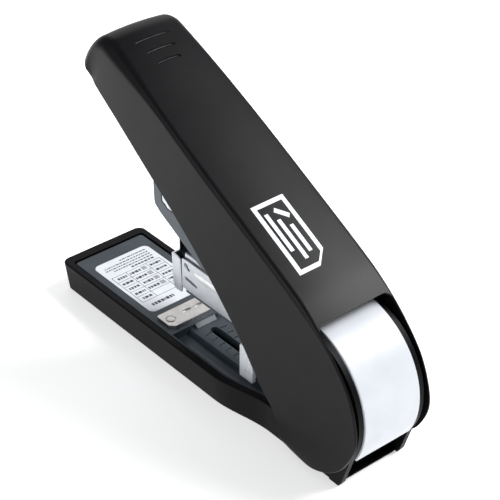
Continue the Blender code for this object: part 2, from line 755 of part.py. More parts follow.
def opening_solid():
    """The opening's cutter, round at its front corners and widening with the flanks towards the rear."""
    inner = OPENING_HALF_WIDTH - OPENING_CORNER
    corner = arc((inner, OPENING_FRONT + OPENING_CORNER), OPENING_CORNER, -90.0, 0.0, 6)
    rings = []
    for up in (-70.0, -30.0, -22.0, -14.0, -6.0, 2.0, 10.0, 20.0, 30.0, 45.0, 75.0):
        right = corner + [(opening_half_width(back, up), back) for back in range(0, 81, 8)]
        plan = right + [(-x, y) for x, y in reversed(right)]
        rings.append([(x, y, up) for x, y in plan])
    return loft(rings)


def opening_half_width(back, up):
    spread = smooth_step(back / 30.0) * smooth_step((45.0 - up) / 60.0)
    return OPENING_HALF_WIDTH + OPENING_SPREAD * spread


def top_height(back):
    """Height of the handle's crowned top along its middle, near the tip."""
    low, high = HANDLE_STATIONS[4], HANDLE_STATIONS[5]
    share = (back - low[0]) / (high[0] - low[0])
    return low[1] + (high[1] - low[1]) * share + HANDLE_CROWN + RIDGE_SHARE * ridge_radius(back)


def grip_groove(back, reach):
    """A bowed groove across the tip."""
    rings = []
    for k in range(9):
        share = k / 4.0 - 1.0
        x = reach * share
        middle = back + GROOVE_BOW * share * share
        low = top_height(middle) - GROOVE_DEPTH - HANDLE_CROWN * (x / HANDLE_TIP_HALF_WIDTH) ** 2
        half = GROOVE_WIDTH / 2
        tilt = 0.18 * half
        section = [(middle - half, low + 5.0), (middle - half, low + 0.3 - tilt)]
        section += [(middle - half * 0.4, low - tilt), (middle + half * 0.4, low + tilt)]
        section += [(middle + half, low + 0.3 + tilt), (middle + half, low + 5.0)]
        rings.append([(x, y, z) for y, z in section])
    return loft(rings)


def handle_frame(handle):
    """The folded steel frame under the shell, with its two hinge eyes."""
    eye = arc((0.0, 0.0), 9.0, 100.0, -80.0, 12)
    top = [(FRAME_FRONT, 26.5), (-110.0, 34.0), (-58.0, 41.0), (-52.5, 39.0), (-50.5, 17.0), (-38.0, 14.0)]
    under = [(-22.0, -7.0), (-60.0, -4.0), (FRAME_FRONT, -3.0)]
    outline = top + eye + under
    frame = piece("handle_frame", prism_x(outline, -FRAME_OUTER, FRAME_OUTER), "zinc_steel", handle)
    inner = FRAME_OUTER - FRAME_WALL
    drop = FRAME_WALL
    hollow = [(FRAME_FRONT - 5.0, 26.0 - drop), (-110.0, 34.0 - drop), (-58.5, 41.0 - drop - 0.1)]
    hollow += [(-52.0, 60.0), (30.0, 60.0), (30.0, -30.0), (FRAME_FRONT - 5.0, -30.0)]
    cut(frame, prism_x(hollow, -inner, inner), handle)
    cut(frame, disc_x((0.0, 0.0), HINGE_PIN_RADIUS + FIT, -20.0, 20.0), handle)
    roller = (ROLLER_BEHIND, ROLLER_ABOVE)
    cut(frame, disc_x(roller, ROLLER_PIN_RADIUS + FIT / 2, -21.0, 21.0, 20), handle)
    pin = disc_x(roller, ROLLER_PIN_RADIUS, -FRAME_OUTER - 0.4, FRAME_OUTER + 0.4, 24)
    piece("roller_pin", pin, "zinc_steel", handle, 30.0)


def press_roller(roller):
    """The steel roller that presses the driver arm down."""
    body = disc_x((0.0, 0.0), ROLLER_RADIUS, -ROLLER_HALF_WIDTH, ROLLER_HALF_WIDTH, 36)
    wheel = piece("press_roller", body, "zinc_steel", roller, 30.0)
    cut(wheel, disc_x((0.0, 0.0), ROLLER_PIN_RADIUS + FIT, -20.0, 20.0, 24), roller)


def driver_arm(arm):
    """The slate pressed-steel arm: two walls, a closed nose, a saddle for the roller and two eyes."""
    axle = (AXLE_FROM_FRONT, AXLE_HEIGHT)
    nose = [(73.0, 90.4), (72.4, 93.0), (72.0, 105.0), (72.8, 108.4), (75.4, 109.2), (98.0, 98.0)]
    back = [(186.0, 56.4), (216.0, 54.2), (238.0, 51.4)]
    eye = arc(axle, ARM_EYE_RADIUS, 90.0, -90.0, 12)
    under = [(236.0, 39.6), (200.0, 42.0), (134.0, 61.5), (112.0, 69.0), (95.5, 77.6), (77.8, 86.7)]
    outline = nose + back + eye + under
    body = piece("driver_arm", prism_x(outline, -ARM_HALF_WIDTH, ARM_HALF_WIDTH), "slate_paint", arm)
    inner = ARM_HALF_WIDTH - ARM_WALL
    front = [(73.4, 20.0), (73.4, 104.6), (74.2, 107.0), (75.8, 107.5), (98.3, 96.3), (98.3, 130.0)]
    front += [(SADDLE_FRONT, 130.0), (SADDLE_FRONT, 20.0)]
    cut(body, prism_x(front, -inner, inner), arm)
    under_saddle = SADDLE_TOP - SADDLE_THICKNESS
    overlap = SADDLE_FRONT - 0.5
    cut(body, block(-inner, inner, overlap, 270.0, 20.0, under_saddle), arm)
    cut(body, block(-inner, inner, overlap, 270.0, SADDLE_TOP, 80.0), arm)
    cut(body, block(-inner, inner, SADDLE_REAR, 271.0, 21.0, 79.0), arm)
    cut(body, disc_x(axle, AXLE_RADIUS + FIT, -20.0, 20.0), arm)
    window = [(79.3, 101.5), (79.3, 95.6), (80.6, 94.2), (82.3, 94.0), (84.2, 92.2), (89.0, 92.0)]
    window += [(92.4, 93.6), (92.4, 97.0), (83.5, 101.5)]
    cut(body, prism_x(window, -30.0, 30.0), arm)


def arm_insert(arm):
    """The white guide block held in the arm's nose, which presses on the blade's head."""
    inner = ARM_HALF_WIDTH - ARM_WALL - FIT
    side = [(74.6, 94.0), (80.4, 87.8), (95.6, 87.8), (97.0, 89.2), (97.0, 95.9)]
    side += [(76.6, 106.0), (74.6, 104.0)]
    body = piece("arm_insert", prism_x(side, -inner, inner), "white_plastic", arm)
    boss = [(79.7, 100.9), (79.7, 95.9), (81.0, 94.6), (82.5, 94.4), (84.4, 92.6), (88.8, 92.4)]
    boss += [(92.0, 94.0), (92.0, 96.6), (83.3, 100.9)]
    reach = ARM_HALF_WIDTH - 0.3
    join(body, prism_x(boss, -reach, reach), arm)


def magazine(mag):
    """The steel channel of the magazine, its dark lower strip and the guide over the staples."""
    axle = (AXLE_FROM_FRONT, AXLE_HEIGHT)
    top = [(MAG_FRONT, MAG_BOTTOM + 0.8), (MAG_FRONT, MAG_TOP - 0.8), (MAG_FRONT + 0.8, MAG_TOP)]
    top += [(150.0, MAG_TOP), (184.0, 45.0), (190.0, 44.3), (208.0, 45.2), (238.0, 48.6)]
    eye = arc(axle, MAG_EYE_RADIUS, 90.0, -90.0, 12)
    under = [(240.0, 39.8), (228.0, MAG_BOTTOM - 0.3), (216.0, MAG_BOTTOM), (MAG_FRONT + 0.8, MAG_BOTTOM)]
    outline = top + eye + under
    half = MAG_HALF_WIDTH
    channel = piece("magazine_channel", prism_x(outline, -half, half), "zinc_steel", mag)
    inner = half - MAG_WALL
    floor = MAG_BOTTOM + 0.8
    cut(channel, block(-inner, inner, 80.0, 232.0, floor, 90.0), mag)
    cut(channel, block(-inner, inner, 226.0, 275.0, 20.0, 89.0), mag)
    cut(channel, disc_x(axle, AXLE_RADIUS + FIT, -20.0, 20.0), mag)
    cut(channel, prism_x(capsule((98.9, 59.5), (102.0, 57.4), 0.95), -21.0, 21.0), mag)
    cut(channel, prism_x(capsule((98.9, 50.2), (109.0, 48.9), 0.75), -22.0, 22.0), mag)
    strip_high = MAG_BOTTOM - FIT
    strip_outline = rounded_box(STRIP_HALF_WIDTH, MAG_FRONT + 2.0, 214.0, 1.5)
    piece("magazine_strip", prism_z(strip_outline, strip_high - 2.3, strip_high), "slate_paint", mag, 30.0)
    guide_low = RAIL_TOP + 1.2
    wall = 0.9
    hood = [(GUIDE_HALF_WIDTH - wall, guide_low), (GUIDE_HALF_WIDTH, guide_low)]
    hood += arc((GUIDE_HALF_WIDTH - 1.2, GUIDE_TOP - 1.2), 1.2, 0.0, 90.0, 4)
    hood += [(-x, z) for x, z in reversed(hood)]
    hood += [(-GUIDE_HALF_WIDTH + wall, GUIDE_TOP - wall), (GUIDE_HALF_WIDTH - wall, GUIDE_TOP - wall)]
    piece("staple_guide", prism_y(hood, MAG_FRONT + 1.2, 146.0), "zinc_steel", mag, 30.0)


def front_plate(drawer):
    """The U-shaped plate that closes the magazine's front, with a rounded lower edge."""
    face = FRONT_PLATE_FACE
    side = [(face - 0.6, 61.4), (face, 62.4), (face + 7.6, 61.2), (face + 7.6, 61.0), (face + 8.9, 38.4)]
    side += [(face + 7.6, 37.7), (face + 3.6, 37.6), (face + 1.2, 39.0), (face + 0.2, 42.0)]
    half = MAG_HALF_WIDTH
    plate = piece("front_plate", prism_x(side, -half, half), "zinc_steel", drawer)
    wall = FRONT_PLATE_WALL
    low = [(face + wall, 70.0), (face + wall + 0.4, 42.0), (face + wall + 1.6, 39.8), (face + 4.6, 30.0)]
    hollow = low + [(face + 20.0, 30.0), (face + 20.0, 70.0)]
    cut(plate, prism_x(hollow, -half + 0.9, half - 0.9), drawer)


def staple_drawer(drawer):
    """Rail tray, core, guide rod, end plate and staple strip of the pull-out drawer."""
    half = RAIL_HALF_WIDTH
    floor = MAG_BOTTOM + 0.8 + FIT
    walls_front = FRONT_PLATE_FACE + FRONT_PLATE_WALL + 0.7
    tray = block(-half, half, walls_front, RAIL_REAR, floor, RAIL_TOP)
    rail = piece("staple_rail", tray, "zinc_steel", drawer)
    inner = half - RAIL_WALL
    cut(rail, block(-inner, inner, 80.0, 200.0, floor + RAIL_WALL, 70.0), drawer)
    cut(rail, block(-inner, inner, 79.0, BLADE_FRONT + BLADE_THICKNESS + 0.6, 30.0, 71.0), drawer)
    notch = [(80.0, 30.0), (walls_front + 4.0, 30.0), (walls_front, 47.0), (80.0, 47.0)]
    cut(rail, prism_x(notch, -20.0, 20.0), drawer)
    core_low = floor + RAIL_WALL + FIT
    core_rear = RAIL_REAR - 4.0
    width = CORE_HALF_WIDTH
    bar = block(-width, width, STAPLE_FRONT + 0.2, core_rear, core_low, CORE_TOP)
    core = piece("staple_core", bar, "dark_steel", drawer)
    inside = width - CORE_WALL
    cut(core, block(-inside, inside, STAPLE_FRONT + 1.5, core_rear + 5.0, 30.0, CORE_TOP - CORE_WALL), drawer)
    track = capsule((0.0, 126.0), (0.0, core_rear - 6.0), 1.3)
    cut(core, prism_z(track, 50.0, 60.0), drawer)
    rod = disc_y((0.0, ROD_HEIGHT), ROD_RADIUS, STAPLE_FRONT + 3.0, RAIL_REAR - 0.4)
    piece("guide_rod", rod, "zinc_steel", drawer, 30.0)
    end = block(-inner + FIT, inner - FIT, core_rear + 1.0, core_rear + 2.6, core_low, RAIL_TOP - 0.2)
    plate = piece("drawer_end_plate", end, "zinc_steel", drawer)
    cut(plate, disc_y((0.0, ROD_HEIGHT), ROD_RADIUS + FIT / 2, core_rear - 5.0, core_rear + 9.0), drawer)
    crown = CORE_TOP + 0.4 + STAPLE_WIRE
    leg = CORE_HALF_WIDTH + FIT
    staple = [(leg, core_low + 0.4), (leg + STAPLE_WIRE, core_low + 0.4), (leg + STAPLE_WIRE, crown)]
    staple += [(-x, z) for x, z in reversed(staple)]
    staple += [(-leg, crown - STAPLE_WIRE), (leg, crown - STAPLE_WIRE)]
    piece("staple_strip", prism_y(staple, STAPLE_FRONT, STAPLE_REAR), "staple_wire", drawer)


def disc_y(centre, radius, front, rear, steps=20):
    return prism_y(circle(centre, radius, steps), front, rear)


def staple_pusher(pusher):
    """The pusher that straddles the core, hangs on the guide rod and keeps the strip forward."""
    top = CORE_TOP + 0.4 + STAPLE_WIRE
    outer = CORE_HALF_WIDTH + FIT + STAPLE_WIRE
    low = MAG_BOTTOM + 0.8 + FIT + RAIL_WALL + FIT
    saddle = block(-outer, outer, PUSHER_FRONT, PUSHER_REAR, low + 0.2, top)
    body = piece("staple_pusher", saddle, "black_moulding", pusher)
    gap = CORE_HALF_WIDTH + FIT
    cut(body, block(-gap, gap, PUSHER_FRONT - 4.0, PUSHER_REAR + 4.0, low - 5.0, CORE_TOP + FIT), pusher)
    join(body, block(-0.9, 0.9, PUSHER_FRONT + 1.0, PUSHER_REAR - 1.0, 52.0, top - 0.3), pusher)
    join(body, block(-3.6, 3.6, PUSHER_FRONT + 0.5, PUSHER_REAR - 0.5, 47.0, 53.6), pusher)
    cut(body, disc_y((0.0, ROD_HEIGHT), ROD_RADIUS + FIT, PUSHER_FRONT - 5.0, PUSHER_REAR + 5.0), pusher)
    front = PUSHER_REAR + 0.4
    turn = coil((0.0, ROD_HEIGHT), 2.1, 0.35, front, RAIL_REAR - 3.6, 13.0, True, 5, 10)
    piece("pusher_spring", turn, "zinc_steel", pusher, 60.0)


def driver_blade(blade):
    """The blade that drives a staple out, and the head that the arm presses on."""
    half = BLADE_HALF_WIDTH
    rear = BLADE_FRONT + BLADE_THICKNESS
    strip = block(-half, half, BLADE_FRONT, rear, BLADE_BOTTOM, BLADE_TOP - 1.2)
    piece("driver_blade", strip, "dark_steel", blade)
    head = block(-half + 0.3, half - 0.3, BLADE_FRONT - 1.5, rear + 1.6, 76.8, BLADE_TOP)
    holder = piece("blade_head", head, "dark_steel", blade)
    slot = block(-half - FIT, half + FIT, BLADE_FRONT - FIT, rear + FIT, 70.0, BLADE_TOP - 1.2 + FIT)
    cut(holder, slot, blade)


def build():
    clear_scene()
    base = Frame("base_frame", 0.0, 0.0)
    handle = Frame("handle_axis", HINGE_FROM_FRONT, HINGE_HEIGHT, -RAISED_ANGLE, True)
    arm = Frame("arm_axis", AXLE_FROM_FRONT, AXLE_HEIGHT)
    mag = Frame("magazine_axis", AXLE_FROM_FRONT, AXLE_HEIGHT)
    drawer = Frame("drawer_frame", FRONT_PLATE_FACE, ROD_HEIGHT)
    pusher = Frame("pusher_frame", PUSHER_FRONT, ROD_HEIGHT)
    blade = Frame("blade_frame", BLADE_FRONT, BLADE_BOTTOM)
    stop = Frame("stop_frame", STOP_FRONT, DIP_FLOOR)
    lean = math.radians(RAISED_ANGLE)
    across = ROLLER_BEHIND * math.cos(lean) + ROLLER_ABOVE * math.sin(lean)
    above = ROLLER_ABOVE * math.cos(lean) - ROLLER_BEHIND * math.sin(lean)
    roller = Frame("roller_axis", HINGE_FROM_FRONT + across, HINGE_HEIGHT + above, -RAISED_ANGLE, True)
    base_tray(base)
    base_panel(base)
    label(base)
    anvil(base)
    feet(base)
    rear_cover(base)
    pins(base)
    lift_spring(base)
    paper_stop(stop)
    handle_shell(handle)
    handle_frame(handle)
    press_roller(roller)
    driver_arm(arm)
    arm_insert(arm)
    driver_blade(blade)
    magazine(mag)
    front_plate(drawer)
    staple_drawer(drawer)
    staple_pusher(pusher)


build()
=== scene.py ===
import json
import math

import bmesh
import bpy
import numpy as np
from mathutils import Matrix

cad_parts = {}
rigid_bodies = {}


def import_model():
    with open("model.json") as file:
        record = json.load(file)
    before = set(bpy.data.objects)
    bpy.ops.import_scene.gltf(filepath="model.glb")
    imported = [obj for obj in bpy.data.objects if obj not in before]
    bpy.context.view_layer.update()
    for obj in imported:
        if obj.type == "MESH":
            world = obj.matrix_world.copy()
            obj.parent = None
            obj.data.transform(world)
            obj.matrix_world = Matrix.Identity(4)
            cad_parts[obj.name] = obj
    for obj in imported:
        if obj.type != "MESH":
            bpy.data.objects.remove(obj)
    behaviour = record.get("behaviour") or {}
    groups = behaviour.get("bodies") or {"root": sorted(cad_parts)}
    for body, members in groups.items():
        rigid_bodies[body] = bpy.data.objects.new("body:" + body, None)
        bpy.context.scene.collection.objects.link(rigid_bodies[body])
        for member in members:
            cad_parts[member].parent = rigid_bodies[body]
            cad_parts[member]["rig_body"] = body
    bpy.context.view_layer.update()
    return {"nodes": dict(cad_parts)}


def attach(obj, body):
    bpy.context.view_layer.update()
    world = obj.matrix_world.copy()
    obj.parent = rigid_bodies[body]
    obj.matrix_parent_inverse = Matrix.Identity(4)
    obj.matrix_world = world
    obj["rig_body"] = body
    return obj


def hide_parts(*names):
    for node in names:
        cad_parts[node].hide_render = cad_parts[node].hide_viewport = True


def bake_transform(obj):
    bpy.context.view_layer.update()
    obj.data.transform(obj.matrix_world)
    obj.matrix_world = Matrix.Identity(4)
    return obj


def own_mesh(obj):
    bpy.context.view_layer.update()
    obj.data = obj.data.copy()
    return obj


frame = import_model()

# -------------------------------------------------------------------------------------------------
# Base tray. One injection moulding in black ABS: a drafted tray with a rounded rim that narrows
# towards the rear, two rear cheeks that carry the hinge, and a shallow recess between them.

MM = 0.001
ROW_MIDDLE = 133.225
BASE_HALF_WIDTH = 31.2
REAR_HALF_WIDTH = 24.0
TAPER_START = 150.0
TAPER_END = 192.0
BASE_LENGTH = 250.0
RIM_FOOT = 19.0
HINGE = (217.5, 45.5)
AXLE = (255.0, 44.5)
CHEEK_RADIUS = 47.0
CHEEK_FRONT = 199.0
CHEEK_INNER = 20.5
CHEEK_OUTER = 23.8
REAR_ARC_START = -29.5
HINGE_BORE = 4.15
AXLE_BORE = 3.15
SIDES = (("left", -1.0), ("right", 1.0))
FEET = (("front", 20.0, 16.0), ("rear", 13.0, 236.0))


def linear(code):
    """An sRGB hex colour as linear RGBA.

    Each channel c becomes c / 12.92 up to 0.04045, and ((c + 0.055) / 1.055) ^ 2.4 above it.
    """
    share = np.array([int(code[k : k + 2], 16) for k in (1, 3, 5)]) / 255.0
    light = np.where(share <= 0.04045, share / 12.92, ((share + 0.055) / 1.055) ** 2.4)
    return (*light.tolist(), 1.0)


def add(tree, kind, settings=(), **links):
    """Adds one node. settings are properties or socket values, and links name its sockets' sources."""
    made = tree.nodes.new(kind)
    for key, value in dict(settings).items():
        if key in made.inputs:
            made.inputs[key].default_value = value
        else:
            setattr(made, key, value)
    for key, source in links.items():
        tree.links.new(source, made.inputs[key])
    return made


def new_surface(name):
    """A material with only its Principled shader, and the shader itself."""
    made = bpy.data.materials.new(name)
    made.use_nodes = True
    return made, made.node_tree, made.node_tree.nodes["Principled BSDF"]


def dress(tree, shader, cloud, colours, last_stop, pattern, roughness, spread, strength, depth_mm):
    """Clouds blend the two colours, and a pattern moves the roughness by spread and lifts the bump."""
    tone = add(tree, "ShaderNodeValToRGB", Fac=cloud.outputs["Fac"])
    for k, stop in enumerate((0.3, last_stop)):
        tone.color_ramp.elements[k].color = linear(colours[k])
        tone.color_ramp.elements[k].position = stop
    gloss = add(
        tree,
        "ShaderNodeMapRange",
        {"From Min": 0.3, "From Max": 0.7, "To Min": roughness - spread, "To Max": roughness + spread},
        Value=pattern.outputs["Fac"],
    )
    relief = add(
        tree,
        "ShaderNodeBump",
        {"Strength": strength, "Distance": depth_mm * MM},
        Height=pattern.outputs["Fac"],
    )
    tree.links.new(tone.outputs["Color"], shader.inputs["Base Color"])
    tree.links.new(gloss.outputs["Result"], shader.inputs["Roughness"])
    tree.links.new(relief.outputs["Normal"], shader.inputs["Normal"])


def moulded(name, colour, second, roughness, spread, grain_mm, depth_mm, specular=0.5):
    """Moulded plastic: spark-eroded grain as bump, with faint cloudy changes of tone and of gloss.

    The grain of the tool is about 0.15 mm and is drawn at grain_mm, the finest that shows.
    """
    made, tree, shader = new_surface(name)
    place = add(tree, "ShaderNodeTexCoord").outputs["Object"]
    fine = {"Scale": 1.0 / (grain_mm * MM), "Detail": 3.0}
    grain = add(tree, "ShaderNodeTexNoise", fine, Vector=place)
    cloud = add(tree, "ShaderNodeTexNoise", {"Scale": 70.0, "Detail": 4.0}, Vector=place)
    shader.inputs["Specular IOR Level"].default_value = specular
    dress(tree, shader, cloud, (colour, second), 0.75, grain, roughness, spread, 0.5, depth_mm)
    return made


tray_abs = moulded("matt_black_tray_abs", "#060608", "#0b0b0e", 0.44, 0.05, 0.5, 0.06, 0.08)
black_abs = moulded("black_moulded_abs", "#08080a", "#0e0e11", 0.36, 0.05, 0.45, 0.05, 0.14)


def arc(centre, radius, start, end, steps):
    """Points centre + radius (cos a, sin a), a running from start to end degrees."""
    turn = np.radians(np.linspace(start, end, steps + 1))
    return np.stack([centre[0] + radius * np.cos(turn), centre[1] + radius * np.sin(turn)], axis=1)


def circle(centre, radius, count):
    """A full circle of count points."""
    return arc(centre, radius, 0.0, 360.0 - 360.0 / count, count - 1)


def mirrored(half):
    """A half outline (across, other) followed by its mirror image in the middle plane."""
    return np.concatenate([half, half[::-1] * (-1.0, 1.0)])


def skin(rings):
    """(points, faces) through rings of equal count: quads between them, both end rings closed."""
    rings = np.asarray(rings, float)
    levels, count = rings.shape[:2]
    near = np.arange(levels - 1)[:, None] * count + np.arange(count)[None, :]
    after = np.roll(near, -1, axis=1)
    quads = np.stack([near, after, after + count, near + count], axis=-1).reshape(-1, 4)
    ends = [list(range(count)), list(range(levels * count - 1, (levels - 1) * count - 1, -1))]
    return rings.reshape(-1, 3), quads.tolist() + ends


def row(points):
    """(across, from the base's front, up) in millimetres, as the frame's metres."""
    return (points - (0.0, ROW_MIDDLE, 0.0)) * MM


def stand_up(outline, low, high):
    """A plan outline as two rings, at heights low and high."""
    flat = np.asarray(outline)
    return np.stack([np.column_stack([flat, np.full(len(flat), z)]) for z in (low, high)])


def across(profile, left, right):
    """A side profile (back, up) as two rings, at left and right."""
    flat = np.asarray(profile, float)
    return np.stack([np.column_stack([np.full(len(flat), x), flat]) for x in (left, right)])


def clean(mesh):
    """Merges doubles, joins faces that lie exactly in one plane and turns all faces outwards."""
    work = bmesh.new()
    work.from_mesh(mesh)
    bmesh.ops.remove_doubles(work, verts=work.verts, dist=2e-6)
    bmesh.ops.dissolve_limit(work, angle_limit=0.0006, verts=work.verts, edges=work.edges)
    bmesh.ops.recalc_face_normals(work, faces=work.faces)
    work.to_mesh(mesh)
    work.free()


def solid(name, shape, to_row=row):
    """A mesh object from (points, faces) in millimetres."""
    points, faces = shape
    mesh = bpy.data.meshes.new(name)
    mesh.from_pydata(to_row(points).tolist(), [], faces)
    clean(mesh)
    made = bpy.data.objects.new(name, mesh)
    bpy.context.scene.collection.objects.link(made)
    return made


def shape_with(body, shape, operation, to_row=row):
    """Cuts a shape out of a body (DIFFERENCE) or joins it on (UNION), and keeps the result."""
    tool = solid("tool", shape, to_row)
    change = body.modifiers.new("change", "BOOLEAN")
    change.operation = operation
    change.solver = "EXACT"
    change.object = tool
    bpy.context.view_layer.update()
    result = bpy.data.meshes.new_from_object(body.evaluated_get(bpy.context.evaluated_depsgraph_get()))
    body.modifiers.clear()
    body.data = result
    bpy.data.objects.remove(tool)
    clean(body.data)


def cut_plan(body, outline, low, high):
    """Cuts a plan outline out of a body between two heights."""
    shape_with(body, skin(stand_up(outline, low, high)), "DIFFERENCE")


def cut_side(body, profile, reach):
    """Cuts a side profile out of a body, to the same reach on both sides."""
    shape_with(body, skin(across(profile, -reach, reach)), "DIFFERENCE")


def finish_piece(made, material, body, nodes=(), round_mm=0.0, angle=32.0):
    """Gives a piece its finish, its rounded edges, its body and the CAD nodes that it stands for.

    A piece that bends between two bodies rides on neither, so its body is None.
    """
    made.data.materials.clear()
    made.data.materials.append(material)
    made.data.polygons.foreach_set("use_smooth", np.ones(len(made.data.polygons), bool))
    if round_mm:
        edge = made.modifiers.new("rounded_edges", "BEVEL")
        edge.width = round_mm * MM
        edge.segments = 2
        edge.limit_method = "ANGLE"
        edge.angle_limit = math.radians(angle)
        even = made.modifiers.new("even_shading", "WEIGHTED_NORMAL")
        even.keep_sharp = True
    else:
        made.data.set_sharp_from_angle(angle=math.radians(angle))
    if body:
        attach(made, body)
    if nodes:
        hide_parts(*nodes)


def smooth_share(value):
    """3v^2 - 2v^3 on 0 to 1."""
    held = np.clip(value, 0.0, 1.0)
    return held * held * (3.0 - 2.0 * held)


def rim_half_width(back):
    """Half width of the rim: full at the front, narrowing in an S between the two taper stations."""
    share = smooth_share((np.asarray(back, float) - TAPER_START) / (TAPER_END - TAPER_START))
    return BASE_HALF_WIDTH + (REAR_HALF_WIDTH - BASE_HALF_WIDTH) * share


def rim_outline(inset, front, rear, front_corner, rear_corner, rear_inset=None):
    """The rim's plan moved in by inset, closed by a round corner at the front and one at the rear."""
    last = inset if rear_inset is None else rear_inset
    side = np.linspace(TAPER_START, TAPER_END, 37)
    side = side[side < rear - 2.0]
    share = smooth_share((side - TAPER_START) / (TAPER_END - TAPER_START))
    flank = np.column_stack([rim_half_width(side) - inset - (last - inset) * share, side])
    turning = (BASE_HALF_WIDTH - inset - front_corner, front + front_corner)
    corner = arc(turning, front_corner, -90.0, 0.0, 12)
    end = float(rim_half_width(rear)) - last
    heel = arc((end - rear_corner, rear - rear_corner), rear_corner, 0.0, 90.0, 10)
    return mirrored(np.concatenate([corner, flank, heel]))


def base_tray():
    """Rings of the rim's plan at rising heights, drafted outwards, with the upper edge rounded off."""
    levels = [(0.5, 2.3, 1.0), (0.65, 2.05, 0.8), (0.95, 1.88, 0.7), (RIM_FOOT, 0.12, 0.1)]
    turn = np.radians(np.linspace(15.0, 90.0, 6))
    inwards = 1.0 - np.cos(turn)
    rounding = np.column_stack([RIM_FOOT + np.sin(turn), 0.12 + inwards, 0.1 + inwards])
    rings = []
    for height, inset, heel in levels + rounding.tolist():
        plan = rim_outline(inset, inset, BASE_LENGTH - heel, 5.0, 5.0, heel)
        rings.append(np.column_stack([plan, np.full(len(plan), height)]))
    tray = solid("tray_moulding", skin(rings))
    cut_plan(tray, rim_outline(4.4, 7.0, 241.0, 2.0, 2.0), 16.4, 25.0)
    cut_plan(tray, rim_outline(6.0, 8.6, 242.0, 2.0, 2.0), 3.5, 26.0)
    cut_side(tray, [(244.6, 1.8), (270.0, 1.8), (270.0, 29.0), (244.6, 29.0)], CHEEK_INNER)
    start = math.degrees(math.acos((CHEEK_FRONT - HINGE[0]) / CHEEK_RADIUS))
    foot = [(255.4, 13.0), (252.6, 4.0), (250.4, 0.5), (243.0, 0.5), (240.0, 12.0), (CHEEK_FRONT, 12.0)]
    cheek = np.concatenate([arc(HINGE, CHEEK_RADIUS, start, REAR_ARC_START, 60), foot])
    for _, side in SIDES:
        shape_with(tray, skin(across(cheek, side * CHEEK_INNER, side * CHEEK_OUTER)), "UNION")
    for centre, radius in ((HINGE, HINGE_BORE), (AXLE, AXLE_BORE)):
        cut_side(tray, circle(centre, radius, 32), 31.0)
    for _, side in SIDES:
        for _, offset, back in FEET:
            cut_plan(tray, circle((side * offset, back), 5.5, 36), -1.0, 2.2)
    return tray


finish_piece(base_tray(), tray_abs, "base", ["base_tray"], 0.35)

# -------------------------------------------------------------------------------------------------
# Feet. Four round pads of black rubber glued into pockets under the tray, matt and slightly dusty.
# They stand 0.5 mm below it, so the tool doesn't slide when the handle is pressed.

rubber_pad = moulded("black_rubber", "#101010", "#1b1a19", 0.85, 0.06, 0.6, 0.06, 0.3)


def lathe(profile, centre, steps=48):
    """A profile of (radius, height) turned about a vertical axis through centre."""
    turn = np.linspace(0.0, 2.0 * math.pi, steps, endpoint=False)
    flat = np.asarray(profile, float)
    x = centre[0] + flat[:, :1] * np.cos(turn)
    y = centre[1] + flat[:, :1] * np.sin(turn)
    return skin(np.stack([x, y, np.repeat(flat[:, 1:], steps, axis=1)], axis=-1))


edge = arc((4.3, 0.7), 0.7, -90.0, 0.0, 6)
for end, offset, back in FEET:
    for word, side in SIDES:
        pad = lathe([*edge.tolist(), (5.0, 1.9)], (side * offset, back))
        foot = solid(f"rubber_foot_{end}_{word}", pad)
        finish_piece(foot, rubber_pad, "base", [f"foot_{end}_{word}"])

# -------------------------------------------------------------------------------------------------
# Base panel. A slate grey moulding laid into the tray: flat at the front, then dished behind the
# anvil round a raised centre ledge with the stop's slot and its row of detent ticks. Its edge has
# a small bevel.

slate_abs = moulded("slate_moulded_abs", "#2b333a", "#343c44", 0.40, 0.05, 0.5, 0.04, 0.35)
PANEL_TOP = 19.4
DIP_FLOOR = 14.2
LEDGE_HALF = 11.2
LEDGE_HEIGHT = 17.0
SLOT_HALF = 2.9
CUT_TOP = 25.0
TICK_PLACES = (115.3, 121.8, 128.2, 134.4, 141.1)
TICK_DEPTH = 0.6
LABEL_RECESS_FLOOR = 19.0
RIVET = (17.1, 93.9)


def slot_outline(front, rear, radius):
    """A round-ended slot on the middle plane between two centres."""
    near = arc((0.0, front), radius, 180.0, 360.0, 16)
    far = arc((0.0, rear), radius, 0.0, 180.0, 16)
    return np.concatenate([near, far])


def dip():
    """The space over the dish: a flat floor, then a quarter ellipse up to the top on each side."""
    stations = np.linspace(105.0, 198.5, 49)
    outer = rim_half_width(stations) - 6.6
    flat = np.minimum(18.0, LEDGE_HALF + 0.45 * (outer - LEDGE_HALF))
    turn = np.radians(np.linspace(0.0, 90.0, 19))[None, :]
    slope_x = flat[:, None] + (outer - flat)[:, None] * np.sin(turn)
    slope_z = np.broadcast_to(PANEL_TOP - (PANEL_TOP - DIP_FLOOR) * np.cos(turn), slope_x.shape)
    ones = np.ones((len(stations), 1))
    x = np.hstack([LEDGE_HALF * ones, (LEDGE_HALF + 0.3) * ones, slope_x, outer[:, None]])
    z = np.hstack([LEDGE_HEIGHT * ones, DIP_FLOOR * ones, slope_z, (PANEL_TOP + 4.0) * ones])
    x = np.hstack([x, -x[:, ::-1]])
    z = np.hstack([z, z[:, ::-1]])
    return skin(np.stack([x, np.broadcast_to(stations[:, None], x.shape), z], axis=-1))


def rounded_plan(half, front, rear, corner, steps=10):
    """A rectangle about the middle plane with round corners."""
    low = arc((half - corner, front + corner), corner, -90.0, 0.0, steps)
    high = arc((half - corner, rear - corner), corner, 0.0, 90.0, steps)
    return mirrored(np.concatenate([low, high]))


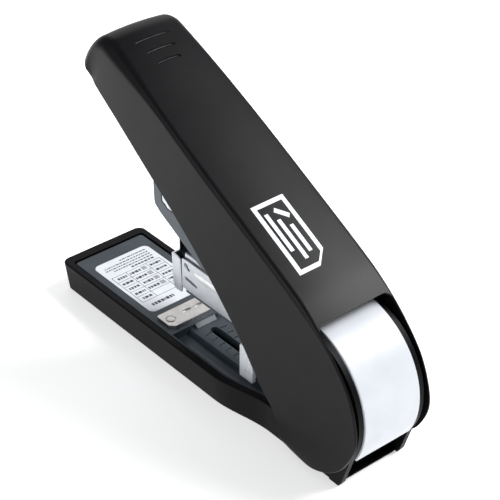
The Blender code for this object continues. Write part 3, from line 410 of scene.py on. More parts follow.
def base_panel():
    """Rings of the plan with a bevelled top edge, less the dip, slot, ticks and label recess."""
    rings = []
    for height, inset in ((16.7, 0.0), (18.75, 0.0), (19.05, 0.12), (19.28, 0.35), (PANEL_TOP, 0.7)):
        plan = rim_outline(5.2 + inset, 7.8 + inset, 196.5 - inset, 1.9 - inset / 2, 1.5 - inset / 2)
        rings.append(np.column_stack([plan, np.full(len(plan), height)]))
    panel = solid("panel_moulding", skin(rings))
    deep = rim_outline(7.2, 102.0, 195.9, 1.0, 1.0)
    shape_with(panel, skin(stand_up(deep, 12.0, 17.7)), "UNION")
    shape_with(panel, dip(), "DIFFERENCE")
    slot = slot_outline(112.0 + SLOT_HALF, 176.0 - SLOT_HALF, SLOT_HALF)
    cut_plan(panel, slot, 5.0, CUT_TOP)
    for back in TICK_PLACES:
        for _, side in SIDES:
            tick = np.array([(side * 3.6, back - 0.45), (side * 8.0, back + 0.15)])
            bar = np.concatenate([tick, tick[::-1] + (0.0, 0.9)])
            cut_plan(panel, bar, LEDGE_HEIGHT - TICK_DEPTH, CUT_TOP)
    cut_plan(panel, rounded_plan(20.9, 19.1, 80.4, 4.3), LABEL_RECESS_FLOOR, 22.0)
    for _, side in SIDES:
        cut_plan(panel, circle((side * RIVET[0], RIVET[1]), 1.9, 30), 10.0, CUT_TOP)
    return panel


finish_piece(base_panel(), slate_abs, "base", ["base_panel"], 0.3)

# -------------------------------------------------------------------------------------------------
# Label. A white film with rounded corners, printed in grey: some lines of small print, a ruled
# table of leg lengths against sheet counts, and a code line. Only bars and icons are drawn here,
# and no words.

label_film = moulded("white_label_film", "#d5d8de", "#dee1e6", 0.45, 0.05, 0.8, 0.01)
label_ink = moulded("grey_print_ink", "#33363e", "#41444c", 0.55, 0.05, 0.6, 0.01)
SHORTEST_WORD = 0.6
WORD_SPACE = 0.55
RULE_HALF = 0.17
RULES = (36.2, 42.6, 49.0, 55.4, 61.8, 68.2)
COLUMNS = (-18.4, -7.6, 7.6, 18.4)
FILM_TOP = 19.5


def flat_bars(bars, low, high):
    """Many thin bars (left, right, front, rear) as one mesh of closed slabs."""
    box = np.asarray(bars, float)
    corners = np.stack([box[:, [0, 2]], box[:, [1, 2]], box[:, [1, 3]], box[:, [0, 3]]], axis=1)
    below = np.concatenate([corners, np.full((*corners.shape[:2], 1), low)], axis=-1)
    above = np.concatenate([corners, np.full((*corners.shape[:2], 1), high)], axis=-1)
    points = np.concatenate([below, above], axis=1).reshape(-1, 3)
    one = np.array([(3, 2, 1, 0), (4, 5, 6, 7), (0, 1, 5, 4), (1, 2, 6, 5), (2, 3, 7, 6), (3, 0, 4, 7)])
    faces = (np.arange(len(box))[:, None, None] * 8 + one).reshape(-1, 4)
    return points, faces.tolist()


def word_bars(left, right, middle, height, chance):
    """A line of print as short bars like words, of random length."""
    bars = []
    at = left
    while at < right - SHORTEST_WORD:
        length = min(chance.uniform(0.7, 2.6), right - at)
        bars.append((at, at + length, middle - height / 2, middle + height / 2))
        at += length + WORD_SPACE
    return bars


def label_print():
    """Bars of the small print, the table's rules and what stands in its cells."""
    chance = np.random.default_rng(7)
    bars = []
    for middle, right in ((23.2, 3.0), (25.9, 16.4), (28.4, 17.0), (30.9, 12.5)):
        bars += word_bars(-17.0, right, middle, 0.95, chance)
    bars += word_bars(-16.0, 2.0, 33.6, 1.5, chance)
    for back in RULES:
        bars.append((COLUMNS[0], COLUMNS[-1], back - RULE_HALF, back + RULE_HALF))
    for x in COLUMNS:
        bars.append((x - RULE_HALF, x + RULE_HALF, RULES[0], RULES[-1]))
    for front, rear in zip(RULES[:-1], RULES[1:], strict=True):
        middle = (front + rear) / 2
        bars += word_bars(COLUMNS[2] + 1.6, COLUMNS[3] - 1.4, middle, 2.1, chance)
        bars += word_bars(COLUMNS[0] + 1.6, COLUMNS[1] - 1.2, middle, 2.0, chance)
        if rear < RULES[-1]:
            bars += word_bars(COLUMNS[1] + 6.2, COLUMNS[2] - 1.0, middle, 2.2, chance)
            icon = COLUMNS[1] + 1.6
            for step in range(4):
                bars.append((icon, icon + 3.6, middle - 1.7 + 0.9 * step, middle - 1.2 + 0.9 * step))
    bars += word_bars(-1.0, 15.5, 73.6, 2.5, chance)
    return flat_bars(bars, FILM_TOP - 0.1, FILM_TOP + 0.015)


film = rounded_plan(20.6, 19.4, 80.1, 4.0, 16)
sheet = solid("label_film", skin(stand_up(film, 19.2, FILM_TOP)))
finish_piece(sheet, label_film, "base", ["label_plate"])
finish_piece(solid("label_print", label_print()), label_ink, "base")

# -------------------------------------------------------------------------------------------------
# Anvil. A stamped steel plate with a tumbled, nickel plated finish, two chamfered corners at the
# rear and two clinching grooves that turn the staple's legs inwards. Two domed rivets hold it.


def plated(name, colour, second, roughness, spread, length_mm, width_mm, along, depth_mm):
    """Rolled or drawn steel under a thin plating: streaks along one axis change tone and gloss.

    Real rolling lines are about 0.05 mm apart and are drawn width_mm apart, the finest that shows.
    """
    made, tree, shader = new_surface(name)
    place = add(tree, "ShaderNodeTexCoord").outputs["Object"]
    scale = [1.0 / (width_mm * MM)] * 3
    scale["xyz".index(along)] = 1.0 / (length_mm * MM)
    stretch = add(tree, "ShaderNodeMapping", {"Scale": scale}, Vector=place).outputs["Vector"]
    streak = add(tree, "ShaderNodeTexNoise", {"Scale": 1.0, "Detail": 3.0}, Vector=stretch)
    cloud = add(tree, "ShaderNodeTexNoise", {"Scale": 180.0, "Detail": 3.0}, Vector=place)
    shader.inputs["Metallic"].default_value = 1.0
    dress(tree, shader, cloud, (colour, second), 0.7, streak, roughness, spread, 0.4, depth_mm)
    return made


nickel_steel = plated("tumbled_nickel_steel", "#bab7b5", "#cbc9c7", 0.36, 0.07, 0.9, 0.5, "x", 0.02)
ANVIL_TOP = 21.1
GROOVE_BACK = 92.6


def clinch_groove(side):
    """A trough whose floor falls and rises as a sine from the middle out, with sloping sides."""
    share = np.linspace(0.0, 1.0, 25)
    swell = np.sin(math.pi * share)
    x = side * (0.6 + 7.8 * share)
    depth = 0.25 + 0.95 * swell
    half = 0.9 + 0.65 * swell
    low = ANVIL_TOP - depth
    top = np.full_like(x, ANVIL_TOP + 1.0)
    y = GROOVE_BACK + np.stack([-half, -half * 0.6, -half * 0.3, half * 0.3, half * 0.6, half], axis=1)
    z = np.stack([top, low + 0.12, low, low, low + 0.12, top], axis=1)
    return skin(np.stack([np.broadcast_to(x[:, None], y.shape), y, z], axis=-1))


def anvil_plate():
    """The stamping's plan, less both grooves and a counterbored hole for each rivet."""
    front = arc((20.5, 87.7), 1.5, -90.0, 0.0, 8)
    plan = mirrored(np.concatenate([front, [(22.0, 98.2), (19.0, 101.2)]]))
    plate = solid("anvil_stamping", skin(stand_up(plan, 19.6, ANVIL_TOP)))
    for _, side in SIDES:
        shape_with(plate, clinch_groove(side), "DIFFERENCE")
        rivet = (side * RIVET[0], RIVET[1])
        cut_plan(plate, circle(rivet, 3.25, 60), ANVIL_TOP - 0.35, ANVIL_TOP + 1.0)
        cut_plan(plate, circle(rivet, 2.0, 36), 19.0, ANVIL_TOP + 1.0)
    return plate


finish_piece(anvil_plate(), nickel_steel, "base", ["anvil_plate"], 0.15)
dome = [(1.6, 12.5), (1.6, 20.8), (2.75, 20.8), (2.75, 21.18), (2.6, 21.3), (2.2, 21.38), (1.2, 21.42)]
for word, side in SIDES:
    rivet = solid(f"anvil_rivet_head_{word}", lathe(dome, (side * RIVET[0], RIVET[1]), 64))
    finish_piece(rivet, nickel_steel, "base", [f"anvil_rivet_{word}"])

# -------------------------------------------------------------------------------------------------
# Ramp. A small slate step behind the anvil. Its sloping face lifts the edge of the paper from the
# low ledge on to the anvil.

ramp = [(104.7, 16.8), (107.6, 16.8), (107.6, 17.2), (105.0, 19.3), (104.7, 19.3)]
plate = solid("paper_ramp", skin(across(ramp, -7.5, 7.5)))
finish_piece(plate, slate_abs, "base", (), 0.12)

# -------------------------------------------------------------------------------------------------
# Paper stop. A white ABS slider that straddles the ledge on two ribbed posts, and a slate shoe
# that clips on from below and holds it down.

white_abs = moulded("white_moulded_abs", "#e4e7ec", "#ebeef3", 0.32, 0.04, 0.7, 0.02)


STOP_BACK = 160.0
STOP_RIBS = 6.0
RIBS_FRONT = 154.2
RIBS_LENGTH = 11.6


def ribbed_post(side):
    """A post with a rounded top and n ribs on its outer face.

    The face lies at 13.65 + 0.55 |sin(pi n v)|^0.4 across, v running from 0 to 1 along it.
    """
    back = np.linspace(RIBS_FRONT, 165.8, 97)
    wave = 0.55 * np.abs(np.sin((back - RIBS_FRONT) / RIBS_LENGTH * math.pi * STOP_RIBS)) ** 0.4
    face = np.column_stack([13.65 + wave, back])
    plan = np.concatenate([[(11.7, 154.0)], face, [(11.7, 166.0)]])
    centre = np.array([12.9, STOP_BACK])
    rings = []
    for height, keep in ((14.5, 1.0), (35.7, 1.0), (36.2, 0.985), (36.48, 0.95), (36.6, 0.9)):
        ring = centre + (plan - centre) * keep
        rings.append(np.column_stack([ring[:, 0] * side, ring[:, 1], np.full(len(ring), height)]))
    return skin(rings)


def paper_stop():
    """Two ribbed posts on a bridge over the ledge, and the tongue that runs in the slot."""
    body = solid("stop_slider", ribbed_post(1.0))
    bridge = [(154.4, 17.3), (165.6, 17.3), (165.6, 20.3), (154.4, 20.3)]
    shape_with(body, skin(across(bridge, -12.3, 12.3)), "UNION")
    shape_with(body, ribbed_post(-1.0), "UNION")
    shape_with(body, skin(stand_up(slot_outline(158.0, 162.0, 2.6), 9.9, 18.0)), "UNION")
    return body


finish_piece(paper_stop(), white_abs, "paper_stop", ["paper_stop"])


def merged_copy(node, name):
    """A CAD node's mesh as a new object, its doubles merged."""
    made = bpy.data.objects.new(name, frame["nodes"][node].data.copy())
    bpy.context.scene.collection.objects.link(made)
    clean(made.data)
    return made


def rounded_copy(node, name, material, round_mm):
    """A merged copy of a CAD node with rounded edges, which stands for that node."""
    made = merged_copy(node, name)
    finish_piece(made, material, frame["nodes"][node]["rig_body"], [node], round_mm)


rounded_copy("stop_shoe", "stop_clip", slate_abs, 0.25)

# -------------------------------------------------------------------------------------------------
# Rear cover. A glossy white moulding bent round the hinge, with a return down each side, clipped
# between the cheeks.

COVER_END = 117.0


def rear_cover():
    """A channel section with round outer corners carried along an arc about the hinge."""
    outer = arc((19.5, 47.4), 0.6, 0.0, 90.0, 6)
    half = np.concatenate([[(18.6, 46.4), (18.6, 43.9), (20.1, 43.9)], outer])
    section = mirrored(half)
    turn = np.radians(np.linspace(REAR_ARC_START, COVER_END, 148))[:, None]
    radius = section[None, :, 1]
    x = np.broadcast_to(section[None, :, 0], (len(turn), len(section)))
    y = HINGE[0] + radius * np.cos(turn)
    z = HINGE[1] + radius * np.sin(turn)
    return skin(np.stack([x, y, z], axis=-1))


cover_abs = moulded("light_grey_white_abs", "#c3c7cd", "#cacdd3", 0.34, 0.04, 0.7, 0.02, 0.4)
cover = solid("cover_moulding", rear_cover())
finish_piece(cover, cover_abs, "base", ["rear_cover"], 0.3)

# -------------------------------------------------------------------------------------------------
# Pins. Turned steel stubs on the hinge, the long axle of the arm and the magazine with its riveted
# ends, and two white spacer tubes that keep the arm in the middle.

bright_zinc = plated("bright_zinc_steel", "#cfd2d8", "#d8dbe1", 0.33, 0.05, 9.0, 0.5, "y", 0.004)


def turned_x(profile, centre, steps=48):
    """A profile of (across, radius) turned about an axis along X through centre (back, up)."""
    turn = np.linspace(0.0, 2.0 * math.pi, steps, endpoint=False)
    flat = np.asarray(profile, float)
    y = centre[0] + flat[:, 1:] * np.cos(turn)
    z = centre[1] + flat[:, 1:] * np.sin(turn)
    return skin(np.stack([np.repeat(flat[:, :1], steps, axis=1), y, z], axis=-1))


for word, side in SIDES:
    stub = [(side * 15.0, 3.6), (side * 15.4, 4.0), (side * 24.1, 4.0), (side * 24.5, 3.5)]
    pin = solid(f"hinge_stub_{word}", turned_x(stub, HINGE))
    finish_piece(pin, bright_zinc, "base", [f"hinge_pin_{word}"])
    rounded_copy(f"axle_spacer_{word}", f"spacer_tube_{word}", white_abs, 0.2)
ends = [(23.9, 3.0), (23.9, 4.2), (24.1, 4.4), (24.4, 4.4), (24.6, 4.1), (24.7, 3.2)]
axle = solid("riveted_axle", turned_x([(-x, r) for x, r in reversed(ends)] + ends, AXLE))
finish_piece(axle, bright_zinc, "base", ["arm_axle"])

# -------------------------------------------------------------------------------------------------
# Lift spring. A coil of zinc plated wire with closed ends, standing under the magazine. Its foot
# stays on the base, and its top goes down with the magazine.

spring_wire = plated("drawn_spring_wire", "#7f8288", "#a3a6ac", 0.30, 0.06, 3.0, 0.4, "z", 0.01)


def coil(radius, wire, start, end, turns, ends=1.2, per_turn=36, sides=10):
    """A round wire carried along a helix, its pitch closing to the wire's width over the end turns."""
    turn = np.linspace(0.0, turns, int(turns * per_turn) + 1)
    free = smooth_share(turn / ends) * smooth_share((turns - turn) / ends) + 0.15
    rise = np.concatenate([[0.0], np.cumsum((free[1:] + free[:-1]) / 2)])
    level = start + wire + (end - start - 2.0 * wire) * rise / rise[-1]
    angle = (2.0 * math.pi * turn)[:, None]
    round_wire = np.linspace(0.0, 2.0 * math.pi, sides, endpoint=False)[None, :]
    out = radius + wire * np.cos(round_wire)
    up = level[:, None] + wire * np.sin(round_wire)
    return np.stack([out * np.cos(angle), out * np.sin(angle), up], axis=-1)


LIFT_BACK = 206.0
lift = coil(6.4, 0.65, 3.8, 39.3, 7.0) + (0.0, LIFT_BACK, 0.0)
lift_coil = solid("lift_coil", skin(lift))
finish_piece(lift_coil, spring_wire, None, ["lift_spring"], 0.0, 70.0)
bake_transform(lift_coil)

# -------------------------------------------------------------------------------------------------
# Magazine. A folded channel in bright zinc plated steel with a teardrop hole, a slot and a long
# pressed rib on each side, a painted strip below it and a bright guide over the staples. The ribs'
# near-white zinc is a painted highlight, lighter than the plates.

MAGAZINE_HALF = 9.2
RIB_HEIGHT = 57.0
slate_enamel = moulded("slate_stoved_enamel", "#3d464f", "#454e57", 0.33, 0.05, 0.9, 0.03)


def side_hole(body, start, end, radius):
    """A round-ended hole right through a body, between two centres (back, up)."""
    lean = math.degrees(math.atan2(end[1] - start[1], end[0] - start[0]))
    far = arc(end, radius, lean - 90.0, lean + 90.0, 14)
    near = arc(start, radius, lean + 90.0, lean + 270.0, 14)
    cut_side(body, np.concatenate([far, near]), 22.0)


plates = merged_copy("magazine_channel", "magazine_side_plates")
side_hole(plates, (99.2, 59.4), (99.6, 59.2), 1.55)
side_hole(plates, (98.9, 50.3), (107.6, 49.1), 1.05)
finish_piece(plates, bright_zinc, "magazine", ["magazine_channel"], 0.16)
rounded_copy("magazine_strip", "magazine_bottom_strip", slate_enamel, 0.4)
rounded_copy("staple_guide", "staple_guide_hood", bright_zinc, 0.2)
# Pressed ribs: their zinc is painted near white, lighter than the plates, as a painted highlight of the
# light that they catch.
rib_zinc_painted_highlight = plated("zinc_rib_painted_highlight", "#f4f5f7", "#fafbfc", 0.42, 0.04, 12.0, 0.5, "y", 0.003)


def pressed_rib(side):
    """A long pad with round ends, its edge falling away as a quarter circle."""
    rings = []
    for reach, proud in ((2.2, -0.3), (2.2, 0.0), (2.05, 0.16), (1.75, 0.25)):
        near = arc((109.1, RIB_HEIGHT), reach, 90.0, 270.0, 14)
        far = arc((146.0, RIB_HEIGHT), reach, -90.0, 90.0, 14)
        ring = np.concatenate([near, far])
        rings.append(np.column_stack([np.full(len(ring), side * (MAGAZINE_HALF + proud)), ring]))
    return skin(rings)


# Each rib gets the near-white zinc, a painted highlight.
for word, side in SIDES:
    rib = solid(f"magazine_rib_{word}", pressed_rib(side))
    finish_piece(rib, rib_zinc_painted_highlight, "magazine")

# -------------------------------------------------------------------------------------------------
# Staple drawer. A pull-out rail tray with its front plate, an inner core that the staples ride on,
# a guide rod and an end plate. The staples are glued wires, about fifty to a strip.

dark_oiled_steel = plated("dark_oiled_steel", "#2c3034", "#3d4247", 0.34, 0.07, 5.0, 0.5, "y", 0.015)
staple_wire = plated("glued_staple_wire", "#b4b6ba", "#cfd1d5", 0.24, 0.05, 2.0, 0.4, "z", 0.01)
rounded_copy("front_plate", "drawer_front_plate", bright_zinc, 0.35)
rounded_copy("staple_rail", "drawer_rail_tray", bright_zinc, 0.12)
rounded_copy("staple_core", "drawer_core", dark_oiled_steel, 0.2)
rounded_copy("guide_rod", "drawer_guide_rod", bright_zinc, 0.15)
rounded_copy("drawer_end_plate", "drawer_stop_plate", bright_zinc, 0.2)
WIRES = 52
PER_WIRE = 6


def staple_strip():
    """The staple's outline carried backwards, its skin rising and falling once for each wire."""
    steps = WIRES * PER_WIRE
    back = np.linspace(91.4, 130.4, steps + 1)
    swell = 0.09 * (np.abs(np.sin(np.arange(steps + 1) * math.pi / PER_WIRE)) ** 0.6 - 1.0)
    outer = 6.5 + swell
    top = 57.3 + swell
    low = np.full_like(back, 44.9)
    inner = np.full_like(back, 5.8)
    under = np.full_like(back, 56.6)
    most = 0.35
    some = most * 0.3
    right_x = np.stack([inner, inner, outer, outer, outer - some, outer - most], axis=1)
    right_z = np.stack([under, low, low, top - most, top - some, top], axis=1)
    x = np.hstack([right_x, -right_x[:, ::-1]])
    z = np.hstack([right_z, right_z[:, ::-1]])
    return skin(np.stack([x, np.broadcast_to(back[:, None], x.shape), z], axis=-1))


strip = solid("glued_staples", staple_strip())
finish_piece(strip, staple_wire, "drawer", ["staple_strip"], 0.0, 25.0)

# -------------------------------------------------------------------------------------------------
# Staple pusher. A black moulding that hangs on the guide rod and keeps the strip forward, with its
# long light spring behind it. The spring closes towards the pusher, as its rear end stays at the
# end plate.

rounded_copy("staple_pusher", "pusher_block", black_abs, 0.2)
ROD_HEIGHT = 50.0
push = coil(2.1, 0.35, 141.4, 180.4, 13.0, 1.0, 24, 8)[..., [0, 2, 1]] + (0.0, 0.0, ROD_HEIGHT)
pusher_coil = solid("pusher_coil", skin(push))
finish_piece(pusher_coil, spring_wire, "pusher", ["pusher_spring"], 0.0, 70.0)
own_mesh(pusher_coil)

# -------------------------------------------------------------------------------------------------
# Driver arm. Folded steel with a stoved slate enamel, its nose closed round a white guide block
# that shows in a window on each side. It carries the blade's head.

rounded_copy("driver_arm", "arm_pressing", slate_enamel, 0.3)
rounded_copy("arm_insert", "arm_guide_block", white_abs, 0.25)
rounded_copy("driver_blade", "hardened_blade", dark_oiled_steel, 0.1)
rounded_copy("blade_head", "blade_holder", dark_oiled_steel, 0.25)

# -------------------------------------------------------------------------------------------------
# Handle frame. A folded steel frame under the cover with two hinge eyes, and the turned roller on
# its pin that presses the arm down.

rounded_copy("handle_frame", "handle_pressing", bright_zinc, 0.25)
rounded_copy("roller_pin", "roller_spindle", bright_zinc, 0.25)
rounded_copy("press_roller", "turned_roller", bright_zinc, 0.4)

# -------------------------------------------------------------------------------------------------
# Handle cover. The long black ABS cover over the frame: crowned on top, flat on its flanks, with a
# rounded ridge between them, three bowed grip grooves at the tip and a round-cornered opening over
# the hinge.

RAISED = math.radians(-35.3)
HANDLE_STATIONS = np.array(
    [
        (-227.0, -5.0, -216.5, -9.4),
        (-227.3, 4.0, -215.5, -9.7),
        (-225.6, 14.5, -214.5, -9.9),
        (-220.5, 21.4, -213.0, -9.9),
        (-210.2, 24.6, -208.0, -9.7),
        (-170.2, 31.8, -170.0, -7.8),
        (-110.1, 40.4, -110.0, -7.6),
        (-52.9, 48.4, -55.4, -14.8),
        (-25.8, 50.7, -29.0, -21.5),
        (-1.0, 48.6, -14.0, -25.6),
        (21.9, 41.5, -4.0, -26.8),
        (41.4, 25.2, 2.0, -28.6),
        (47.1, 5.1, 6.0, -30.0),
        (44.9, -9.5, 9.0, -31.1),
        (37.2, -21.8, 11.5, -31.9),
        (25.7, -28.7, 13.0, -32.5),
        (17.5, -32.4, 14.5, -32.9),
    ]
)
TIP = -227.0
CROWN = 1.0
CROWN_EDGE = 0.9
CROWN_COLUMNS = 10
RIDGE_SHARE = 0.33
HALF_WIDTH = 27.0
TIP_HALF_WIDTH = 23.8
INNER_HALF_WIDTH = 25.8
INNER_LOW_HALF = 25.9
FLANK_DRAFT = 1.2


def handle_row(points):
    """(across, behind the hinge, above it) in the raised handle's frame, as the frame's metres."""
    back = points[:, 1] * math.cos(RAISED) - points[:, 2] * math.sin(RAISED)
    up = points[:, 1] * math.sin(RAISED) + points[:, 2] * math.cos(RAISED)
    return row(np.stack([points[:, 0], HINGE[0] + back, HINGE[1] + up], axis=1))


def through(points, steps):
    """The Catmull-Rom curve through the points, each span computed at steps places.

    b + ((c - a) t + (2a - 5b + 4c - d) t^2 + (3b - a - 3c + d) t^3) / 2, from b at t = 0 to c at t = 1.
    """
    held = np.concatenate([points[:1], points, points[-1:]])
    a, b, c, d = (held[k : k + len(points) - 1, None, :] for k in range(4))
    t = np.linspace(0.0, 1.0, steps, endpoint=False)[None, :, None]
    square = 2 * a - 5 * b + 4 * c - d
    cube = 3 * b - a - 3 * c + d
    curve = b + 0.5 * ((c - a) * t + square * t**2 + cube * t**3)
    return np.concatenate([curve.reshape(-1, points.shape[1]), points[-1:]])


def handle_half_width(back, up):
    """Narrow at the tip, full from the middle and a little wider low on the cheeks."""
    growth = np.sin(np.clip((back - TIP) / 120.0, 0.0, 1.0) * math.pi / 2)
    low = np.where(back > 0.0, smooth_share((50.0 - up) / 75.0), 0.0)
    return np.where(back < TIP + 120.0, TIP_HALF_WIDTH + 3.2 * growth, HALF_WIDTH + 2.4 * low)


def ridge_radius(back):
    """8 mm at the tip, 3.6 mm along the handle and 1.2 mm round the cheeks."""
    front = 8.0 - 4.4 * smooth_share((back + 222.0) / 60.0)
    rear = 3.6 - 2.4 * smooth_share((back + 40.0) / 40.0)
    return np.where(back < -100.0, front, rear)


def handle_section(path, wall, below, rounds=10):
    """(x, distance up from the lower edge, origin, direction) of every ring along the path.

    Each half section runs up the drafted flank, round the ridge by a quarter circle, then in over the
    crown, which rises by CROWN (1 - share squared) from the ridge to the middle.
    """
    step = np.gradient(path[:, :2], axis=0)
    step /= np.linalg.norm(step, axis=1, keepdims=True)
    normal = np.stack([-step[:, 1], step[:, 0]], axis=1)
    radius = ridge_radius(path[:, 0])
    grown = RIDGE_SHARE * radius
    ridge = path[:, :2] + (grown - wall)[:, None] * normal
    edge = path[:, 2:] - (0.0, below)
    half = handle_half_width(path[:, 0], path[:, 1]) + grown - wall
    low_half = half - grown + FLANK_DRAFT
    if wall:
        half = np.minimum(half, INNER_HALF_WIDTH)
        low_half = np.minimum(low_half, INNER_LOW_HALF)
    along = np.linalg.norm(ridge - edge, axis=1)
    up = (ridge - edge) / along[:, None]
    radius = np.minimum(np.maximum(radius - wall, 0.6), 0.8 * along)
    turn = np.radians(np.linspace(0.0, 90.0, rounds + 1))[None, :]
    round_x = (half - radius)[:, None] + radius[:, None] * np.cos(turn)
    round_s = (along - radius)[:, None] + radius[:, None] * np.sin(turn)
    share = np.linspace(CROWN_EDGE, 0.0, CROWN_COLUMNS)[None, :]
    crown_x = (half - radius)[:, None] * share
    crown_s = along[:, None] + CROWN * (1.0 - share**2)
    rise = np.linspace(0.0, 1.0, 12, endpoint=False)[None, :]
    flank_x = low_half[:, None] + (half - low_half)[:, None] * rise
    flank_s = (along - radius)[:, None] * rise
    x = np.hstack([flank_x, round_x, crown_x])
    s = np.hstack([flank_s, round_s, crown_s])
    return x, s, edge, up


def handle_body(wall, below, stretch):
    """The cover's outside with wall 0, or its hollow, reaching below the lower edge, over a stretch."""
    path = through(HANDLE_STATIONS, 8)[stretch]
    x, s, edge, up = handle_section(path, wall, below)
    x = np.hstack([x, -x[:, -2::-1]])
    s = np.hstack([s, s[:, -2::-1]])
    y = edge[:, :1] + up[:, :1] * s
    z = edge[:, 1:] + up[:, 1:] * s
    return skin(np.stack([x, y, z], axis=-1))


def top_line(back):
    """Height of the crown's middle near the tip, on the straight line between two stations."""
    low, high = HANDLE_STATIONS[4], HANDLE_STATIONS[5]
    share = (back - low[0]) / (high[0] - low[0])
    return low[1] + (high[1] - low[1]) * share + CROWN + RIDGE_SHARE * ridge_radius(back)


def grip_groove(back, reach):
    """A rounded trough across the tip, bowed backwards by 0.5 mm at its ends and fading out there."""
    share = np.linspace(-1.0, 1.0, 33)
    x = reach * share
    middle = back + 0.5 * share**2
    fade = 0.8 * np.sqrt(np.clip(1.0 - np.abs(share) ** 8, 0.05, 1.0))
    low = top_line(middle) - fade - CROWN * (x / TIP_HALF_WIDTH) ** 2
    turn = np.radians(np.linspace(180.0, 360.0, 9))[None, :]
    y = middle[:, None] + 0.85 * np.cos(turn)
    z = low[:, None] + 0.5 + 0.5 * np.sin(turn) + 0.18 * (y - middle[:, None])
    y = np.hstack([y, y[:, -1:], y[:, :1]])
    z = np.hstack([z, z[:, -1:] + 5.0, z[:, :1] + 5.0])
    return skin(np.stack([np.broadcast_to(x[:, None], y.shape), y, z], axis=-1))


def opening():
    """Plans stacked upwards: round front corners, then sides that spread with the flanks down and back.

    The half width is 26.1 + 1.9 f(back / 30) f((45 - up) / 60), with f the smooth share.
    """
    corner = arc((21.1, -14.3), 5.0, -90.0, 0.0, 16)
    back = np.linspace(0.0, 80.0, 41)
    rings = []
    for up in (-70.0, *np.linspace(-32.0, 46.0, 27), 75.0):
        spread = smooth_share(back / 30.0) * smooth_share((45.0 - up) / 60.0)
        plan = mirrored(np.concatenate([corner, np.column_stack([26.1 + 1.9 * spread, back])]))
        rings.append(np.column_stack([plan, np.full(len(plan), up)]))
    return skin(rings)


HOLLOW = slice(8, 81)


def handle_cover():
    """The outside, less the hollow, the rear opening and the three grip grooves."""
    cover = solid("handle_moulding", handle_body(0.0, 0.0, slice(None)), handle_row)
    shape_with(cover, handle_body(2.0, 9.0, HOLLOW), "DIFFERENCE", handle_row)
    shape_with(cover, opening(), "DIFFERENCE", handle_row)
    for back, reach in ((-212.1, 12.0), (-203.6, 10.0), (-195.3, 8.0)):
        shape_with(cover, grip_groove(back, reach), "DIFFERENCE", handle_row)
    return cover


finish_piece(handle_cover(), black_abs, "handle", ["handle_shell"], 0.4)

# -------------------------------------------------------------------------------------------------
# Printed mark. A pad print in white on the crown of the cover: a sign of a page with a staple in
# its corner, which says what the tool does without words.

white_ink = moulded("white_pad_print", "#e3e7ee", "#eef1f6", 0.38, 0.04, 0.8, 0.01)
MARK_FRONT = -96.0
MARK_SIDE = 17.6
MARK_STRETCH = slice(60, 220)
INK = 0.05


def crown_point(across_mm, back_mm, lift):
    """The point of the crown at (across, behind the hinge), lifted off it."""
    path = through(HANDLE_STATIONS, 24)
    x, s, edge, up = handle_section(path, 0.0, 0.0)
    flat = x[:, -CROWN_COLUMNS] / CROWN_EDGE
    reach = s[:, -1] - CROWN
    along = (edge[:, 0] + up[:, 0] * reach)[MARK_STRETCH]
    order = np.argsort(along)
    flat, reach, edge_y, edge_z, up_y, up_z = (
        np.interp(back_mm, along[order], part[MARK_STRETCH][order])
        for part in (flat, reach, edge[:, 0], edge[:, 1], up[:, 0], up[:, 1])
    )
    rise = reach + CROWN * (1.0 - (across_mm / flat) ** 2) + lift
    return np.stack([across_mm, edge_y + up_y * rise, edge_z + up_z * rise], axis=-1)


def ink_patch(corners, steps=14):
    """A four-sided patch of ink laid on the crown, thin and closed all round."""
    a, b, c, d = (np.array(corner, float) for corner in corners)
    u = np.linspace(0.0, 1.0, steps)[:, None, None]
    v = np.linspace(0.0, 1.0, steps)[None, :, None]
    flat = (1 - u) * ((1 - v) * a + v * d) + u * ((1 - v) * b + v * c)
    rim = np.concatenate(
        [
            np.arange(steps),
            np.arange(1, steps) * steps + steps - 1,
            (steps - 1) * steps + np.arange(steps - 2, -1, -1),
            np.arange(steps - 2, 0, -1) * steps,
        ]
    )
    x = MARK_SIDE - flat[..., 1].ravel()
    y = MARK_FRONT + flat[..., 0].ravel()
    top = crown_point(x, y, INK)
    low = crown_point(x, y, -INK)
    cell = np.arange((steps - 1) * steps).reshape(steps - 1, steps)[:, :-1].ravel()
    upper = np.stack([cell, cell + steps, cell + steps + 1, cell + 1], axis=1)
    lower = upper[:, ::-1] + steps * steps
    after = np.roll(rim, -1)
    side = np.stack([rim, after, after + steps * steps, rim + steps * steps], axis=1)
    return np.concatenate([top, low]), np.concatenate([upper, lower, side])


def printed_mark():
    """Patches in millimetres along and up: a page with a cut corner, a staple and three lines."""
    patches = [
        [(2.0, 0.6), (48.0, 0.6), (48.0, 3.2), (2.0, 3.2)],
        [(2.0, 20.4), (40.6, 20.4), (39.6, 23.0), (2.0, 23.0)],
        [(2.0, 3.1), (4.6, 3.1), (4.6, 20.5), (2.0, 20.5)],
        [(45.4, 3.1), (48.0, 3.1), (48.0, 14.8), (45.4, 15.6)],
        [(45.4, 15.6), (48.0, 14.8), (39.6, 23.0), (40.6, 20.4)],
        [(7.4, 13.0), (9.6, 11.2), (16.0, 17.4), (13.8, 19.2)],
        [(20.0, 14.4), (38.0, 14.4), (38.0, 16.8), (20.0, 16.8)],
        [(14.6, 9.6), (41.0, 9.6), (41.0, 12.0), (14.6, 12.0)],
        [(9.0, 4.9), (34.0, 4.9), (34.0, 7.3), (9.0, 7.3)],
    ]
    points = []
    faces = []
    for corners in patches:
        more, sides = ink_patch(corners)
        faces += (sides + len(points)).tolist()
        points += more.tolist()
    return np.array(points), faces


mark = solid("printed_mark", printed_mark(), handle_row)
finish_piece(mark, white_ink, "handle", (), 0.0, 60.0)

# -------------------------------------------------------------------------------------------------
# Studio. A white sweep of paper, a large soft light over the far side that the crowned top
# mirrors, and weaker ones at the front and beside the camera.


FLOOR_REACH = 6.0
LENS = 127.3
SENSOR = 36.0
CAMERA_PLACE = (0.5286, 0.6381, 0.6517)
CAMERA_TURN, CAMERA_RISE, CAMERA_ROLL = (math.radians(angle) for angle in (139.77, 34.4, 0.36))


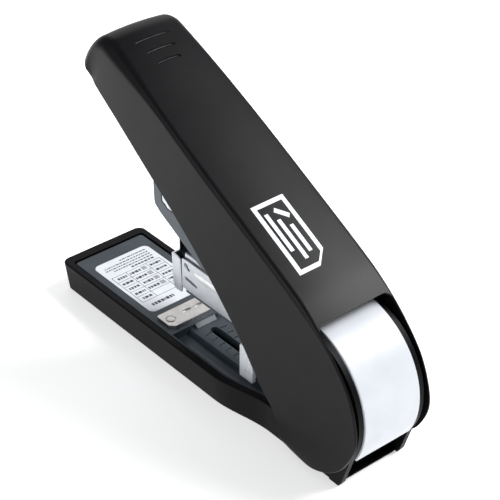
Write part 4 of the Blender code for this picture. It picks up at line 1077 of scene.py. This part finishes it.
def studio_floor():
    """A wide flat sheet on the floor that glows a little, as a lit sweep does."""
    made, tree, shader = new_surface("white_paper_sweep")
    shader.inputs["Base Color"].default_value = linear("#f7f7f7")
    shader.inputs["Roughness"].default_value = 0.9
    shader.inputs["Specular IOR Level"].default_value = 0.1
    shader.inputs["Emission Color"].default_value = linear("#ffffff")
    shader.inputs["Emission Strength"].default_value = 0.46
    mesh = bpy.data.meshes.new("studio_floor")
    corners = [(x * FLOOR_REACH, y * FLOOR_REACH, 0.0) for x, y in ((-1, -1), (1, -1), (1, 1), (-1, 1))]
    mesh.from_pydata(corners, [], [(0, 1, 2, 3)])
    mesh.materials.append(made)
    floor = bpy.data.objects.new("studio_floor", mesh)
    bpy.context.scene.collection.objects.link(floor)


def placed(made, right, up, back, place):
    """Puts a lamp or camera at place, held by its right, up and back directions."""
    turn = np.eye(4)
    turn[:3, :3] = np.stack([right, up, back], axis=1)
    turn[:3, 3] = place
    made.matrix_world = Matrix(turn.tolist())
    bpy.context.scene.collection.objects.link(made)


def soft_light(name, place, size, power):
    """A soft box at place, turned to face the object's middle."""
    data = bpy.data.lights.new(name, "AREA")
    data.shape = "RECTANGLE"
    data.size, data.size_y = size
    data.energy = power
    back = np.array(place, float) - (0.0, 0.0, 0.06)
    back /= np.linalg.norm(back)
    right = np.cross((0.0, 0.0, 1.0), back)
    right /= np.linalg.norm(right)
    placed(bpy.data.objects.new(name, data), right, np.cross(back, right), back, place)


def set_camera():
    """A long lens, turned about the vertical, raised, and rolled a little about its own axis."""
    across_view = np.array([math.cos(CAMERA_TURN), math.sin(CAMERA_TURN), 0.0])
    ahead = np.array([math.sin(CAMERA_TURN), -math.cos(CAMERA_TURN), 0.0])
    back = math.cos(CAMERA_RISE) * ahead + np.array([0.0, 0.0, math.sin(CAMERA_RISE)])
    up_view = np.cross(back, across_view)
    right = math.cos(CAMERA_ROLL) * across_view + math.sin(CAMERA_ROLL) * up_view
    up = -math.sin(CAMERA_ROLL) * across_view + math.cos(CAMERA_ROLL) * up_view
    data = bpy.data.cameras.new("studio_camera")
    data.sensor_width = SENSOR
    data.lens = LENS
    camera = bpy.data.objects.new("studio_camera", data)
    placed(camera, right, up, back, CAMERA_PLACE)
    bpy.context.scene.camera = camera


studio_floor()
soft_light("soft_overhead", (-1.25, 0.72, 1.45), (1.0, 1.0), 50.0)
soft_light("soft_front", (-1.1, -1.35, 1.15), (1.6, 1.6), 7.0)
soft_light("soft_camera", (1.7, 0.25, 0.95), (1.4, 1.2), 15.0)
world = bpy.data.worlds.new("studio_air")
world.use_nodes = True
world.node_tree.nodes["Background"].inputs["Color"].default_value = linear("#f4f6f8")
world.node_tree.nodes["Background"].inputs["Strength"].default_value = 0.32
bpy.context.scene.world = world
bpy.context.scene.view_settings.view_transform = "Standard"
set_camera()
